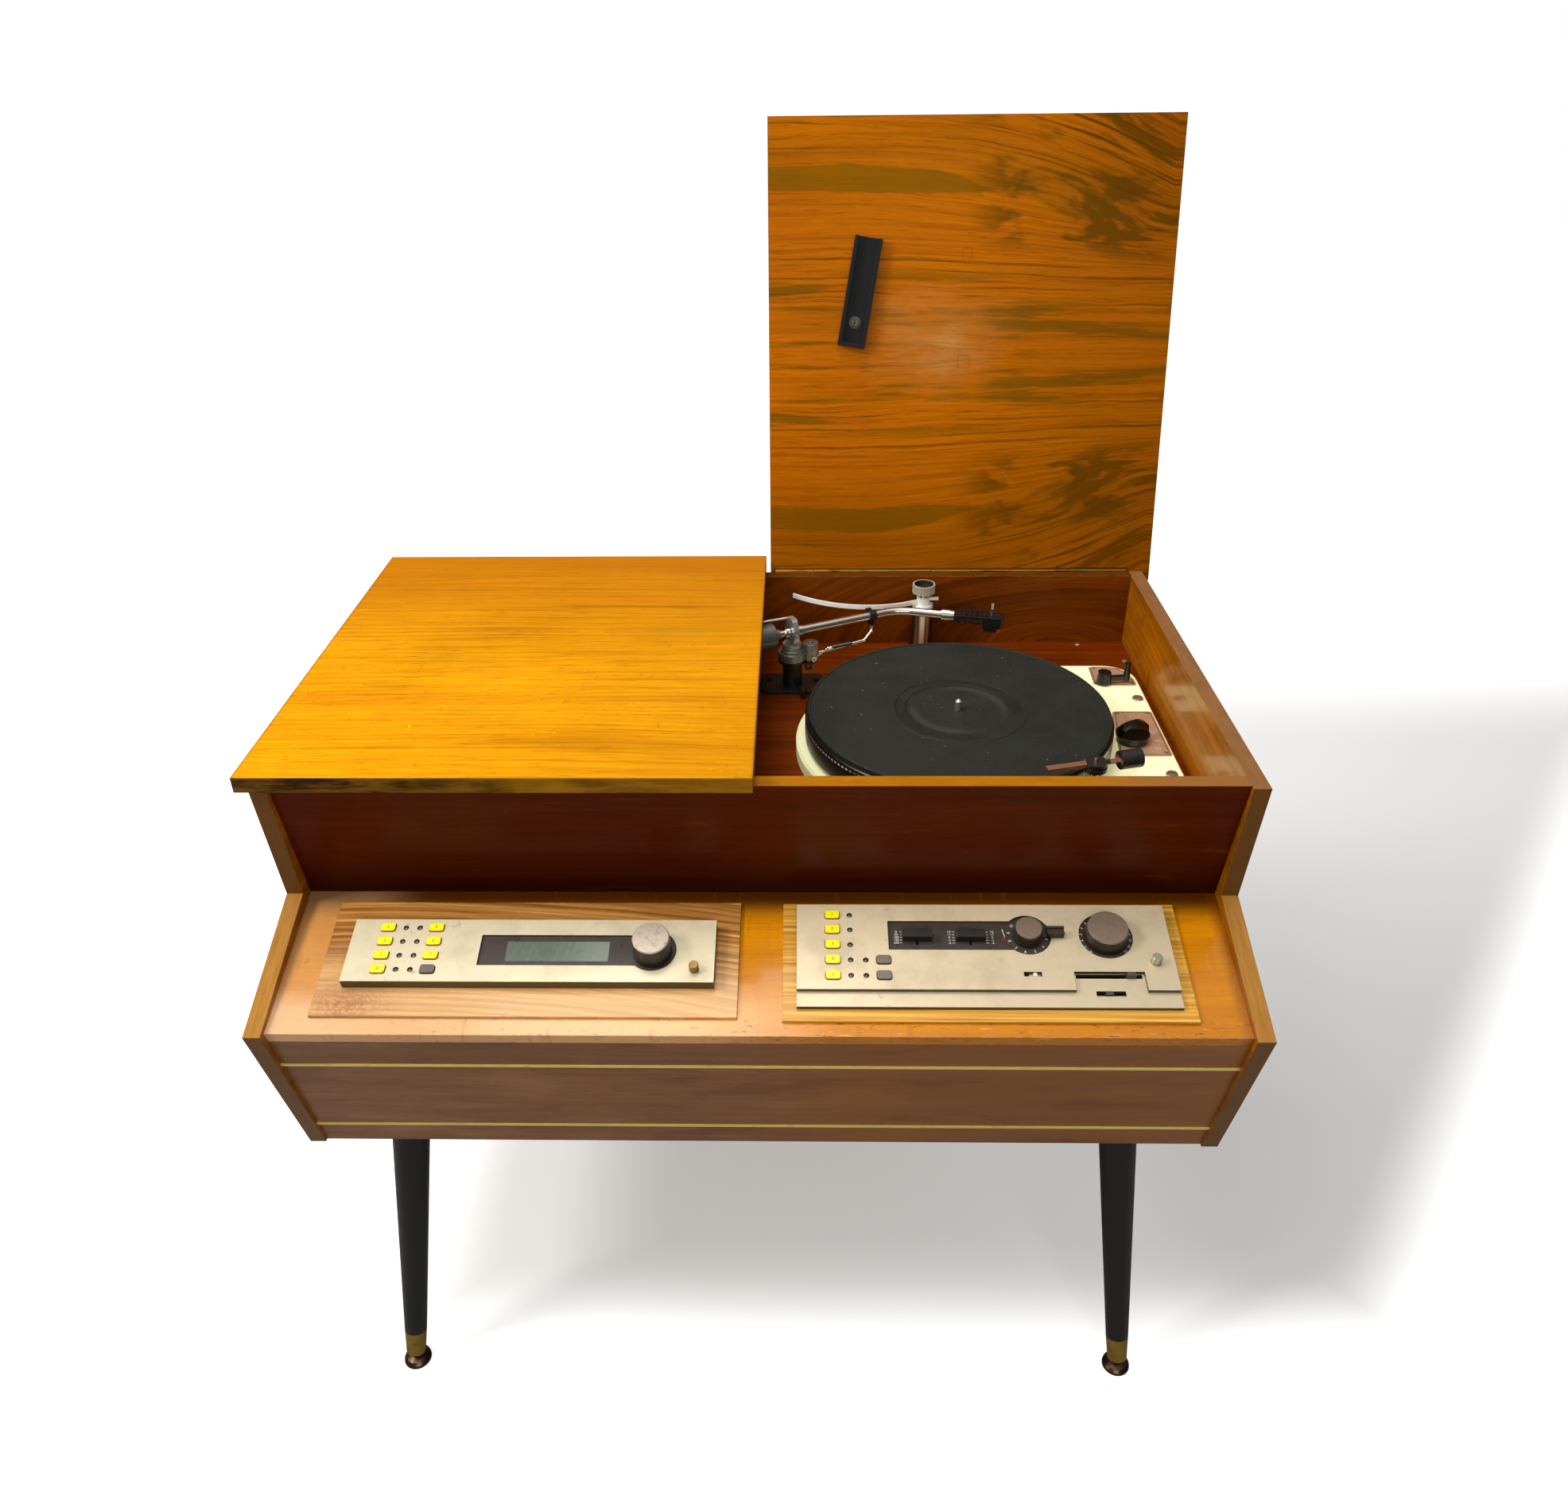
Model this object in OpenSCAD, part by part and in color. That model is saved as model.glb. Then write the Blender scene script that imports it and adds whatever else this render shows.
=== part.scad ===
// Audio console cabinet: a veneered case on four splayed legs with a sloping control desk,
// two lift-up lids and a deep well that holds an idler-drive record deck and its tonearm.
// Units are millimetres. Z is up from the floor, X runs left to right, Y runs front to back.
// The right lid is drawn open on its stop and the left lid is drawn closed.

/* [Cabinet] */
// overall width across the side panels
cabinet_width = 857.6; // [840:1:880]
// thickness of each side panel
side_thickness = 15; // [13:0.5:18]
// thickness of the board that faces the record well
fascia_thickness = 16; // [14:0.5:18]
// thickness of the desk board and of the lower fascia
front_board_thickness = 12; // [10:0.5:14]
// thickness of the base board and of the motor board
shelf_thickness = 15; // [12:0.5:18]
// height of the case above its underside
case_height = 362; // [355:1:370]
// height of the nose line, where desk and lower fascia meet, above the underside
nose_height = 188.5; // [184:0.5:192]
// depth from the nose line to the back face
case_depth = 580.4; // [575:0.5:590]
// slope of the control desk in degrees
desk_slope = 16; // [15:0.5:17]

/* [Lids] */
// thickness of each lid
lid_thickness = 14.5; // [12:0.5:18]
// how far each lid stands out past the side panel
lid_side_overhang = 8.8; // [4:0.2:12]
// front to back size of each lid
lid_depth = 485.7; // [483:0.5:488]
// angle between the open lid and the closed lid
lid_open_angle = 103; // [103:1:103]
// distance of the hinge axis behind the back face
hinge_offset = 2.65; // [2.62:0.01:2.9]

/* [Legs] */
// height of the case above the floor
leg_height = 300; // [260:5:340]
// leg diameter at the top
leg_top_d = 38; // [34:1:40]
// leg diameter above the ferrule
leg_bottom_d = 22.6; // [22:0.2:24]
// how far each foot is splayed to the front or back of its leg top
leg_splay = 70; // [50:1:80]
// how far each foot is splayed sideways
leg_side_splay = 21; // [8:1:24]

/* [Record deck] */
// platter radius
platter_r = 151; // [148:0.5:151]
// mat radius
mat_r = 148.5; // [145:0.5:150]
// spindle radius
spindle_r = 3.6; // [3.5:0.05:3.6]
// outer radius of the idler wheel
idler_r = 25; // [22:0.5:27]
// radius of the motor pulley
pulley_r = 7; // [5:0.5:8]

/* [Tonearm] */
// clear space between the parked arm's bend and the rear wall
arm_park_gap = 41.02; // [38:0.02:48]
// straight length of the arm tube ahead of its bend
arm_straight = 112; // [105:1:115]
// angle of the bend in the arm tube
arm_bend = 38; // [34:1:40]
// arm tube radius
arm_tube_r = 4.5; // [4:0.1:4.8]
// counterweight radius
counterweight_r = 13.5; // [11:0.5:14]

/* [Control units] */
// width of the tuner front
unit_width = 321; // [318:1:324]
// width of the amplifier front
amp_width = 325; // [322:1:328]
// how deep the unit cases hang below the desk
unit_depth = 175; // [120:5:175]
// width of a push button
button_w = 12.6; // [11:0.2:13]
// height of a push button along the slope
button_h = 8.4; // [7:0.2:9]
// travel of the push buttons is the height they stand proud, less a little
button_proud = 1.7; // [1.2:0.1:2.2]

/* [Hidden] */
$fn = 64;
hair = 0.01;
half_w = cabinet_width / 2;
inner_half = half_w - side_thickness;
base_z = leg_height;
nose_z = base_z + nose_height;
top_z = base_z + case_height;

// side panel outline, given behind the nose line and above it
notch_y = 135.6;
notch_rise = 47.8;
top_front_y = 115.2;
toe_y = 59.1;

// inner boards sit back from the side panels' front edges
desk_y = 7;
desk_z = nose_z - 2.2;
fascia_foot_y = 150.6;
fascia_head_y = 119.7;
lower_toe_y = 62.3;
desk_back_y = fascia_foot_y + fascia_thickness + 5.4;

// record well
well_z = top_z - 83;
rear_wall_t = 13;
rear_wall_y = case_depth - rear_wall_t;
rear_wall_drop = 122;
back_panel_t = 6;
outlet_x = inner_half - 113.8;
vent_pitch = inner_half * 0.232;

// hinges and lids
hinge_y = case_depth + hinge_offset;
hinge_z = top_z;
lid_back_y = hinge_y + 11.35;
lid_front_y = lid_back_y - lid_depth;
lid_half_w = half_w + lid_side_overhang;
lid_left_edge = 2;
lid_right_edge = 3;
knuckle_r = 2.2;
knuckle_gap = 0.4;
knuckle_count = 9;
hinge_start = 8;
hinge_end = inner_half - 2;
knuckle_len = (hinge_end - hinge_start) / knuckle_count;
leaf_t = 1.2;
leaf_w = 9.6;
leaf_drop = 20;
pin_r = 0.9;
pin_bore_r = 0.96;
lid_reach = hinge_y - lid_front_y;
lean = lid_open_angle - 90;
overall_depth = hinge_y + lid_reach * sin(lean) + lid_thickness * cos(lean);

// lid clip, given from the hinge line along the lid
clip_x = 96.3;
clip_reach = 271;
clip_turn = 9.3;
clip_w = 29.5;
clip_len = 112;
clip_h = 9;
clip_tail = 25;

// legs
leg_top_x = inner_half - 68.3;
leg_front_top_y = 105;
leg_rear_top_y = case_depth - 46;
ferrule_len = 28;
ferrule_r = 11.3;
spigot_r = 9;
glide_r = 14;
plate_r = 24;
plate_t = 2.5;
foot_z = 14;
leg_rise = leg_height - foot_z;
leg_run = norm([leg_splay, leg_side_splay]);
leg_tilt = atan2(leg_run, leg_rise);
leg_axis = norm([leg_run, leg_rise]);

// control units, in desk coordinates: X right, Y up the slope, Z off the desk
surround_t = 3;
tuner_x = -inner_half / 2 + 9.9;
tuner_left = tuner_x - unit_width / 2;
tuner_s = 44.3;
tuner_h = 64.5;
tuner_face = 13;
case_width = 306;
tuner_case_h = 56;
row_pitch = 14.45;
tuner_rows = [for (i = [0 : 3]) tuner_s + 12 + i * row_pitch];
tuner_cols = [tuner_left + 30.5, tuner_left + 73.5];
tuner_lights = [tuner_left + 46.2, tuner_left + 58.6];
tuner_power = [tuner_left + 303.6, tuner_s + 13.2];
dial_x = tuner_left + 266.3;
dial_s = tuner_s + 32.4;
dial_r = 21;
tuner_window = [tuner_left + 115.2, tuner_s + 16.7, 31.4];
amp_x = inner_half / 2 - 10.1;
amp_left = amp_x - amp_width / 2;
amp_s = 24.6;
amp_h = 102.9;
amp_step = 39.4;
amp_low_face = 7;
amp_face = 11;
amp_case_h = 84;
amp_case_s = 80;
amp_rows = [53.1, 68.8, 84.5, 100.2, 115.9];
amp_col = amp_left + 31.1;
amp_lights = [amp_left + 46.6, amp_left + 59.6];
amp_power = [amp_left + 308.6, amp_s + 43.2];
monitor_col = amp_left + 75;
filter_x = amp_left + 201.8;
filter_s = 95.4;
filter_r = 20.5;
amp_window = [amp_left + 80, 79.6, 30.3];
volume_x = amp_left + 269.8;
volume_s = 94.5;
volume_r = 23.3;
bass_x = amp_left + 105.2;
tilt_x = amp_left + 151.8;
tone_s = 93.5;
tone_travel = 6;
balance_x = amp_left + 285.7;
balance_s = 55.4;
notch_left = amp_left + 236.7;
notch_right = amp_left + 297.2;
notch_top = 57.7;
trim_x = amp_left + 264.7;
trim_s = 38.2;
mute_x = amp_left + 201.7;
mute_s = 55;
inset_drop = 2;
corner_r = 2.2;
button_gap = 0.45;
light_r = 1.9;
light_drop = 1.2;
push_r = 4.1;
plate_side = 22.5;
plate_margin = 12.2;
tuner_plate = [16, 119];
amp_plate = [13, 121];

// record deck
deck_x = inner_half - 220.8;
deck_y = 320;
chassis_h = 14.5;
chassis_z = well_z + chassis_h;
chassis_r = 160;
chassis_wall = 4;
chassis_right = deck_x + 209;
chassis_front = deck_y - 160;
chassis_back = deck_y + 158;
chassis_corner = 34;
platter_z = chassis_z + 3;
platter_top = chassis_z + 28;
mat_t = 5;
mat_top = platter_top + mat_t;
rim_r = 142;
web_t = 6.5;
bearing_r = 6;
drive_gap = 0.3;
idler_angle = 35;
idler_reach = rim_r - idler_r - drive_gap;
pulley_reach = idler_reach - idler_r - pulley_r - drive_gap;
lever_x = deck_x + 169.9;
lever_y = deck_y + 113.9;
lever_reach = 24.5;
speed_x = deck_x + 173;
speed_y = deck_y - 8;
deck_screws = [[deck_x + 199, deck_y + 79.7], [deck_x + 196.7, deck_y - 71.8]];
motor_r = 42;
motor_len = 62;
motor_drop = shelf_thickness + motor_len;

// tonearm
arm_x = deck_x - 164.5;
arm_y = deck_y + 137.5;
arm_reach = 160;
arm_heading = asin((rear_wall_y - arm_park_gap - arm_y) / arm_reach);
arm_z = mat_top + 18;
turret_z = well_z + 49;
bend_r = 45;
arm_end = 49;
tube_lap = 0.3;
shell_len = 54;
sleeve_at = 97;
rest_r = 1.6;
dashpot_dx = 19.5;
cue_dx = 4;
cue_pin_r = 1.2;

// accessory arms in the well
sweep_x = deck_x - 15.7;
sweep_y = rear_wall_y - 14.8;
sweep_z = well_z + 52;
cleaner_x = deck_x + 105;
cleaner_y = deck_y - 138;
cleaner_z = well_z + 61;

// ---------- helpers ----------

// moves a piece from nose-line coordinates to the part's own centre
module from_front() {
  translate([0, -overall_depth / 2, 0]) children();
}

// desk coordinates: origin on the front edge of the desk
module on_desk() {
  from_front() translate([0, desk_y, desk_z]) rotate([desk_slope, 0, 0]) children();
}

// turns a lid piece from closed to open
module opened() {
  translate([0, hinge_y, hinge_z]) rotate([-lid_open_angle, 0, 0])
    translate([0, -hinge_y, -hinge_z]) children();
}

// parked tonearm coordinates: X along the tube, Z kept
module along_arm() {
  from_front() translate([arm_x, arm_y, 0]) rotate([0, 0, arm_heading]) children();
}

// board with a profile in the YZ plane, centred across the cabinet
module board(points, width) {
  translate([-width / 2, 0, 0]) rotate([90, 0, 90]) linear_extrude(width) polygon(points);
}

// rod between two points
module rod(a, b, r) {
  d = b - a;
  translate(a) rotate([0, atan2(norm([d[0], d[1]]), d[2]), atan2(d[1], d[0])])
    rotate([0, 0, 40]) cylinder(r = r, h = norm(d));
}

// flat rounded rectangle, centred
module round_rect(w, h, r) {
  square([w, h - 2 * r], center = true);
  square([w - 2 * r, h], center = true);
  for (x = [-1, 1], y = [-1, 1]) {
    translate([x * (w / 2 - r), y * (h / 2 - r)]) circle(r);
  }
}

module round_block(w, h, r, t) {
  linear_extrude(t) round_rect(w, h, r);
}

function desk_line(y) = desk_z + (y - desk_y) * tan(desk_slope);
function lower_line(z) = desk_y + (desk_z - z) * (lower_toe_y - desk_y) / (desk_z - base_z);
// back face of the board that faces the record well, at height z
function fascia_back(z) = fascia_head_y + fascia_thickness
  + (top_z - z) * (fascia_foot_y - fascia_head_y) / (top_z - desk_line(fascia_foot_y + fascia_thickness));

lower_lean = atan2(lower_toe_y - desk_y, desk_z - base_z);
desk_drop = front_board_thickness / cos(desk_slope);
lower_set = front_board_thickness / cos(lower_lean);
// where the desk's underside meets the front and the back of the lower fascia
joint_run = desk_drop / (tan(desk_slope) + 1 / tan(lower_lean));
joint_front = [desk_y + joint_run, desk_z - joint_run / tan(lower_lean)];
joint_deep = (desk_drop * tan(lower_lean) + lower_set) / (1 + tan(desk_slope) * tan(lower_lean));
joint_back = [desk_y + joint_deep, desk_z - desk_drop + joint_deep * tan(desk_slope)];

// ---------- case ----------

module side_panel() {
  translate([inner_half, 0, 0]) rotate([90, 0, 90]) linear_extrude(side_thickness)
    polygon([
      [toe_y, base_z], [0, nose_z], [notch_y, nose_z + notch_rise],
      [top_front_y, top_z], [case_depth, top_z], [case_depth, base_z]
    ]);
}

module side_panel_right() {
  color("sienna") from_front() side_panel();
}

module side_panel_left() {
  color("sienna") from_front() mirror([1, 0, 0]) side_panel();
}

module upper_fascia() {
  foot_back = fascia_foot_y + fascia_thickness;
  color("saddlebrown") from_front()
    board([
      [fascia_head_y, top_z], [fascia_head_y + fascia_thickness, top_z],
      [foot_back, desk_line(foot_back)], [fascia_foot_y, desk_line(fascia_foot_y)]
    ], 2 * inner_half);
}

module control_desk() {
  color("peru") difference() {
    from_front() board([
      [desk_y, desk_z], [desk_back_y, desk_line(desk_back_y)],
      [desk_back_y, desk_line(desk_back_y) - desk_drop], joint_front
    ], 2 * inner_half);
    on_desk() unit_holes(0.6, 2);
  }
}

// openings that the unit cases drop through
module unit_holes(gap, top) {
  translate([tuner_x, tuner_s + tuner_h / 2, -front_board_thickness - 20])
    round_block(case_width + 2 * gap, tuner_case_h + 2 * gap, 2, front_board_thickness + 20 + top);
  translate([amp_x, amp_case_s, -front_board_thickness - 20])
    round_block(case_width + 2 * gap, amp_case_h + 2 * gap, 2, front_board_thickness + 20 + top);
  for (p = [tuner_power, amp_power]) translate([p[0], p[1], -front_board_thickness - 20])
    cylinder(r = push_r + 1 + gap, h = front_board_thickness + 20 + top);
}

module lower_fascia() {
  color("saddlebrown") from_front() difference() {
    board([
      joint_front, joint_back,
      [lower_toe_y + lower_set, base_z], [lower_toe_y, base_z]
    ], 2 * inner_half);
    for (z = [strip_high, strip_low]) strip_bar(z, 2 * inner_half + 2, 1.2);
  }
}

strip_high = nose_z - 50.7;
strip_low = nose_z - 156.6;
strip_t = 3;

// bar lying in the face of the lower fascia at height z, sunk by depth
module strip_bar(z, width, depth) {
  translate([0, lower_line(z), z]) rotate([lower_lean, 0, 0])
    translate([-width / 2, -1.2, -strip_t / 2]) cube([width, depth + 1.2, strip_t]);
}

module brass_strips() {
  color("gold") from_front()
    for (z = [strip_high, strip_low]) strip_bar(z, 2 * inner_half, 1.2);
}

module base_board() {
  front_low = lower_line(base_z) + lower_set;
  front_high = lower_line(base_z + shelf_thickness) + lower_set;
  back = case_depth - back_panel_t;
  color("burlywood") from_front() difference() {
    board([
      [front_low, base_z], [front_high, base_z + shelf_thickness],
      [back, base_z + shelf_thickness], [back, base_z]
    ], 2 * inner_half);
    for (x = [-1, 1]) {
      translate([x * leg_top_x, leg_front_top_y, base_z - 1]) cylinder(r = 5, h = 13);
      translate([x * leg_top_x, leg_rear_top_y, base_z - 1]) cylinder(r = 5, h = 13);
    }
  }
}

module back_panel() {
  rear_low = top_z - rear_wall_drop;
  color("tan") from_front() difference() {
    translate([-inner_half, case_depth - back_panel_t, base_z])
      cube([2 * inner_half, back_panel_t, rear_low - base_z]);
    for (x = [-3 : 3], z = [0, 1]) {
      translate([x * vent_pitch, case_depth, rear_low - 40 - z * 22]) rotate([90, 0, 0])
        translate([0, 0, -1]) round_block(60, 7, 3.4, back_panel_t + 2);
    }
    for (x = [-1, 1]) {
      translate([x * outlet_x, case_depth + 1, base_z + 46]) rotate([90, 0, 0])
        cylinder(r = 14, h = back_panel_t + 2);
    }
  }
}

module rear_wall() {
  color("saddlebrown") from_front() difference() {
    translate([-inner_half, rear_wall_y, top_z - rear_wall_drop])
      cube([2 * inner_half, rear_wall_t, rear_wall_drop]);
    for (side = [-1, 1]) hinge_span(side)
      translate([-1, case_depth - leaf_t, hinge_z - leaf_drop])
        cube([hinge_length() + 2, leaf_t + 1, leaf_drop + 1]);
  }
}

module motor_board() {
  low = well_z - shelf_thickness;
  front_low = low < desk_line(desk_back_y) ? desk_back_y : fascia_back(low);
  color("chocolate") from_front() difference() {
    board([
      [fascia_back(well_z), well_z], [rear_wall_y, well_z],
      [rear_wall_y, low], [front_low, low]
    ], 2 * inner_half);
    translate([0, 0, low - 1]) linear_extrude(shelf_thickness + 2) chassis_plan(12);
    translate([arm_x, arm_y, low - 1]) cylinder(r = 8, h = shelf_thickness + 2);
  }
}

// ---------- hinges ----------

function hinge_length() = knuckle_count * knuckle_len;

// places a hinge part for the left (-1) or right (1) lid, starting beside the middle
module hinge_span(side) {
  mirror([side < 0 ? 1 : 0, 0, 0]) translate([hinge_start, 0, 0]) children();
}

// knuckle number k as a solid bar along X
module knuckle(k, r) {
  translate([k * knuckle_len + knuckle_gap / 2, hinge_y, hinge_z]) rotate([0, 90, 0])
    cylinder(r = r, h = knuckle_len - knuckle_gap);
}

module hinge_frame_leaves() {
  color("darkgoldenrod") from_front() for (side = [-1, 1]) hinge_span(side) {
    translate([0, case_depth - leaf_t, hinge_z - leaf_drop])
      cube([hinge_length(), leaf_t, leaf_drop]);
    for (k = [0 : 2 : knuckle_count - 1]) {
      knuckle(k, knuckle_r);
      translate([k * knuckle_len + knuckle_gap / 2, case_depth - leaf_t, hinge_z - leaf_t])
        cube([knuckle_len - knuckle_gap, hinge_y - case_depth + leaf_t, leaf_t]);
    }
    translate([knuckle_gap / 2, hinge_y, hinge_z]) rotate([0, 90, 0])
      cylinder(r = pin_r, h = hinge_length() - knuckle_gap);
  }
}

module hinge_lid_leaf() {
  difference() {
    union() {
      translate([0, hinge_y + knuckle_r + 0.4, hinge_z])
        cube([hinge_length(), leaf_w - knuckle_r - 0.4, leaf_t]);
      for (k = [1 : 2 : knuckle_count - 2]) {
        knuckle(k, knuckle_r);
        translate([k * knuckle_len + knuckle_gap / 2, hinge_y, hinge_z])
          cube([knuckle_len - knuckle_gap, leaf_w, leaf_t]);
      }
    }
    translate([-1, hinge_y, hinge_z]) rotate([0, 90, 0])
      cylinder(r = pin_bore_r, h = hinge_length() + 2);
  }
}

module hinge_leaf_left() {
  color("darkgoldenrod") from_front() hinge_span(-1) hinge_lid_leaf();
}

module hinge_leaf_right() {
  color("darkgoldenrod") from_front() opened() hinge_span(1) hinge_lid_leaf();
}

// ---------- lids ----------

// closed lid from its inner edge to its outer edge on the +X side
module lid_slab(inner_edge) {
  difference() {
    translate([inner_edge, lid_front_y, hinge_z])
      cube([lid_half_w - inner_edge, lid_depth, lid_thickness]);
    translate([hinge_start - 1, hinge_y, hinge_z]) rotate([0, 90, 0])
      cylinder(r = knuckle_r + 0.5, h = hinge_length() + 2);
    translate([hinge_start - 1, hinge_y, hinge_z - 1])
      cube([hinge_length() + 2, leaf_w + 0.1, leaf_t + 1]);
  }
}

module lid_left() {
  color("goldenrod") from_front() mirror([1, 0, 0]) lid_slab(lid_left_edge);
}

module lid_right() {
  color("darkorange") from_front() opened() difference() {
    lid_slab(lid_right_edge);
    translate([clip_x, hinge_y - clip_reach, hinge_z - 1]) cylinder(r = 2, h = 11);
  }
}

// moulded channel held to the underside of the right lid by one screw that it turns on
module lid_clip() {
  color("dimgray") from_front() opened()
    translate([clip_x, hinge_y - clip_reach, hinge_z]) rotate([0, 0, clip_turn]) {
      difference() {
        translate([-clip_w / 2, -clip_len + clip_tail, -clip_h]) cube([clip_w, clip_len, clip_h]);
        translate([-clip_w / 2 + 4, -clip_len + clip_tail - 1, -clip_h - 1])
          cube([clip_w - 8, clip_len - 2, clip_h - 2]);
        translate([0, 0, -clip_h]) cylinder(r = 2.05, h = clip_h + 1);
      }
      difference() {
        translate([0, 0, -3 - 2.4]) cylinder(r = 4.2, h = 2.4);
        translate([-0.5, -5, -6.4]) cube([1, 10, 1.8]);
      }
      translate([0, 0, -3.2]) cylinder(r = 1.95, h = 12);
    }
}

// ---------- legs ----------

// puts a foot piece at all four corners: front feet lean forward, rear feet lean back
module each_leg() {
  for (x = [-1, 1]) {
    translate([x * leg_top_x, leg_front_top_y, 0]) mirror([x < 0 ? 1 : 0, 0, 0]) children();
    translate([x * leg_top_x, leg_rear_top_y, 0]) mirror([x < 0 ? 1 : 0, 0, 0])
      mirror([0, 1, 0]) children();
  }
}

// axis of a front right leg, with its origin at the middle of the ferrule's end
module leg_line() {
  translate([leg_side_splay, -leg_splay, foot_z])
    rotate([0, leg_tilt, atan2(leg_splay, -leg_side_splay)]) children();
}

module legs() {
  wood_len = leg_axis - ferrule_len;
  grow = (leg_top_d - leg_bottom_d) / 2 / wood_len;
  color("black") from_front() each_leg() {
    difference() {
      leg_line() {
        translate([0, 0, ferrule_len]) rotate([0, 0, 40])
          cylinder(r1 = leg_bottom_d / 2, r2 = leg_top_d / 2 + 12 * grow, h = wood_len + 12);
        translate([0, 0, 6]) cylinder(r = spigot_r, h = ferrule_len);
      }
      translate([-60, -60, base_z - plate_t / 2]) cube([120, 120, 60]);
    }
    translate([0, 0, base_z - plate_t]) cylinder(r = plate_r, h = plate_t);
    translate([0, 0, base_z - plate_t / 2]) cylinder(r = 4.9, h = 12);
  }
}

module leg_ferrules() {
  color("gold") from_front() each_leg() leg_line() difference() {
    cylinder(r1 = ferrule_r - 1.4, r2 = ferrule_r, h = ferrule_len);
    translate([0, 0, 6]) cylinder(r = spigot_r + 0.02, h = ferrule_len);
    translate([0, 0, -1]) cylinder(r = 3.03, h = 10);
  }
}

module leg_glides() {
  color("peru") from_front() each_leg() {
    translate([leg_side_splay, -leg_splay, 0]) rotate_extrude()
      polygon([
        [0, 0], [glide_r - 0.8, 0], [glide_r, 1.2], [glide_r - 0.4, 4],
        [glide_r - 3, 6.6], [6, 8.8], [0, 9]
      ]);
    leg_line() translate([0, 0, -8]) cylinder(r = 3, h = 13.5);
  }
}

// ---------- control units ----------

module unit_surrounds() {
  color("peru") on_desk() difference() {
    union() {
      translate([tuner_left - plate_side, tuner_plate[0], hair])
        cube([unit_width + 2 * plate_side - 2, tuner_plate[1], surround_t - hair]);
      translate([amp_left - plate_margin, amp_plate[0], hair])
        cube([amp_width + 2 * plate_margin, amp_plate[1], surround_t - hair]);
    }
    unit_holes(0.4, surround_t + 1);
  }
}

// open-topped steel box hanging below the desk
module unit_case(height) {
  w = case_width;
  translate([0, 0, surround_t - unit_depth]) difference() {
    round_block(w, height, 2, unit_depth);
    translate([0, 0, 1.2]) round_block(w - 2.4, height - 2.4, 1, unit_depth);
  }
}

module unit_cases() {
  color("gray") on_desk() {
    translate([tuner_x, tuner_s + tuner_h / 2, 0]) unit_case(tuner_case_h);
    translate([amp_x, amp_case_s, 0]) unit_case(amp_case_h);
  }
}

// outline of a dark window that runs into a round dial
module dial_window(window, x, s, r, shrink) {
  translate([window[0] + shrink, window[1] + shrink])
    square([x - window[0] - 2 * shrink, window[2] - 2 * shrink]);
  translate([x, s]) circle(r - shrink);
}

// one shape for all the buttons, at the face height given
module button_cap(face) {
  translate([0, 0, face - 4]) round_block(button_w, button_h, corner_r, 4 + button_proud);
}

module button_hole() {
  round_rect(button_w + 2 * button_gap, button_h + 2 * button_gap, corner_r + button_gap);
}

module tuner_front() {
  color("wheat") on_desk() translate([0, 0, surround_t])
    linear_extrude(tuner_face - surround_t) difference() {
      translate([tuner_x - unit_width / 2, tuner_s]) square([unit_width, tuner_h]);
      dial_window(tuner_window, dial_x, dial_s, dial_r, 0);
      for (x = tuner_cols, s = tuner_rows) translate([x, s]) button_hole();
      for (x = tuner_lights, s = tuner_rows) translate([x, s]) circle(2.5);
      translate(tuner_power) circle(push_r + 0.2);
    }
}

module unit_windows() {
  color("dimgray") on_desk() {
    translate([0, 0, surround_t]) linear_extrude(tuner_face - inset_drop - surround_t)
      difference() {
        dial_window(tuner_window, dial_x, dial_s, dial_r, 0.05);
        translate([dial_x, dial_s]) circle(3.06);
      }
    translate([0, 0, surround_t]) linear_extrude(amp_face - inset_drop - surround_t)
      difference() {
        dial_window(amp_window, filter_x, filter_s, filter_r, 0.05);
        translate([filter_x, filter_s]) circle(3.06);
        for (x = [bass_x, tilt_x]) translate([x, tone_s]) square([1.8, 2 * tone_travel + 3.6], center = true);
      }
    translate([volume_x, volume_s, surround_t]) difference() {
      cylinder(r = volume_r - 0.05, h = amp_face - inset_drop - surround_t);
      translate([0, 0, -1]) cylinder(r = 3.06, h = 10);
    }
    for (x = tuner_lights, s = tuner_rows) {
      translate([x, s, surround_t]) cylinder(r = light_r, h = tuner_face - surround_t - light_drop);
    }
    for (s = amp_rows) translate([amp_lights[0], s, surround_t]) cylinder(r = light_r, h = amp_face - surround_t - light_drop);
    for (s = [amp_rows[0], amp_rows[1]]) {
      translate([amp_lights[1], s, surround_t]) cylinder(r = light_r, h = amp_face - surround_t - light_drop);
    }
  }
}

module preamp_front() {
  color("wheat") on_desk() difference() {
    union() {
      translate([amp_left, amp_s, surround_t]) cube([amp_width, amp_h, amp_low_face - surround_t]);
      translate([amp_left, amp_step, amp_low_face])
        cube([amp_width, amp_s + amp_h - amp_step, amp_face - amp_low_face]);
    }
    translate([notch_left, amp_step - 1, amp_low_face])
      cube([notch_right - notch_left, notch_top - amp_step + 1, 10]);
    translate([0, 0, surround_t - 1]) linear_extrude(12) {
      dial_window(amp_window, filter_x, filter_s, filter_r, 0);
      translate([volume_x, volume_s]) circle(volume_r);
      for (s = amp_rows) translate([amp_col, s]) button_hole();
      for (s = [amp_rows[0], amp_rows[1]]) translate([monitor_col, s]) button_hole();
      for (s = amp_rows) translate([amp_lights[0], s]) circle(2.5);
      for (s = [amp_rows[0], amp_rows[1]]) translate([amp_lights[1], s]) circle(2.5);
      translate(amp_power) circle(push_r + 0.3);
      translate([mute_x, mute_s]) square([15.4, 4.6], center = true);
      translate([notch_left + 2, balance_s - 2.2]) square([notch_right - notch_left - 4, 4.2]);
      translate([trim_x + 1.5, trim_s]) square([25, 5], center = true);
    }
  }
}

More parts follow.
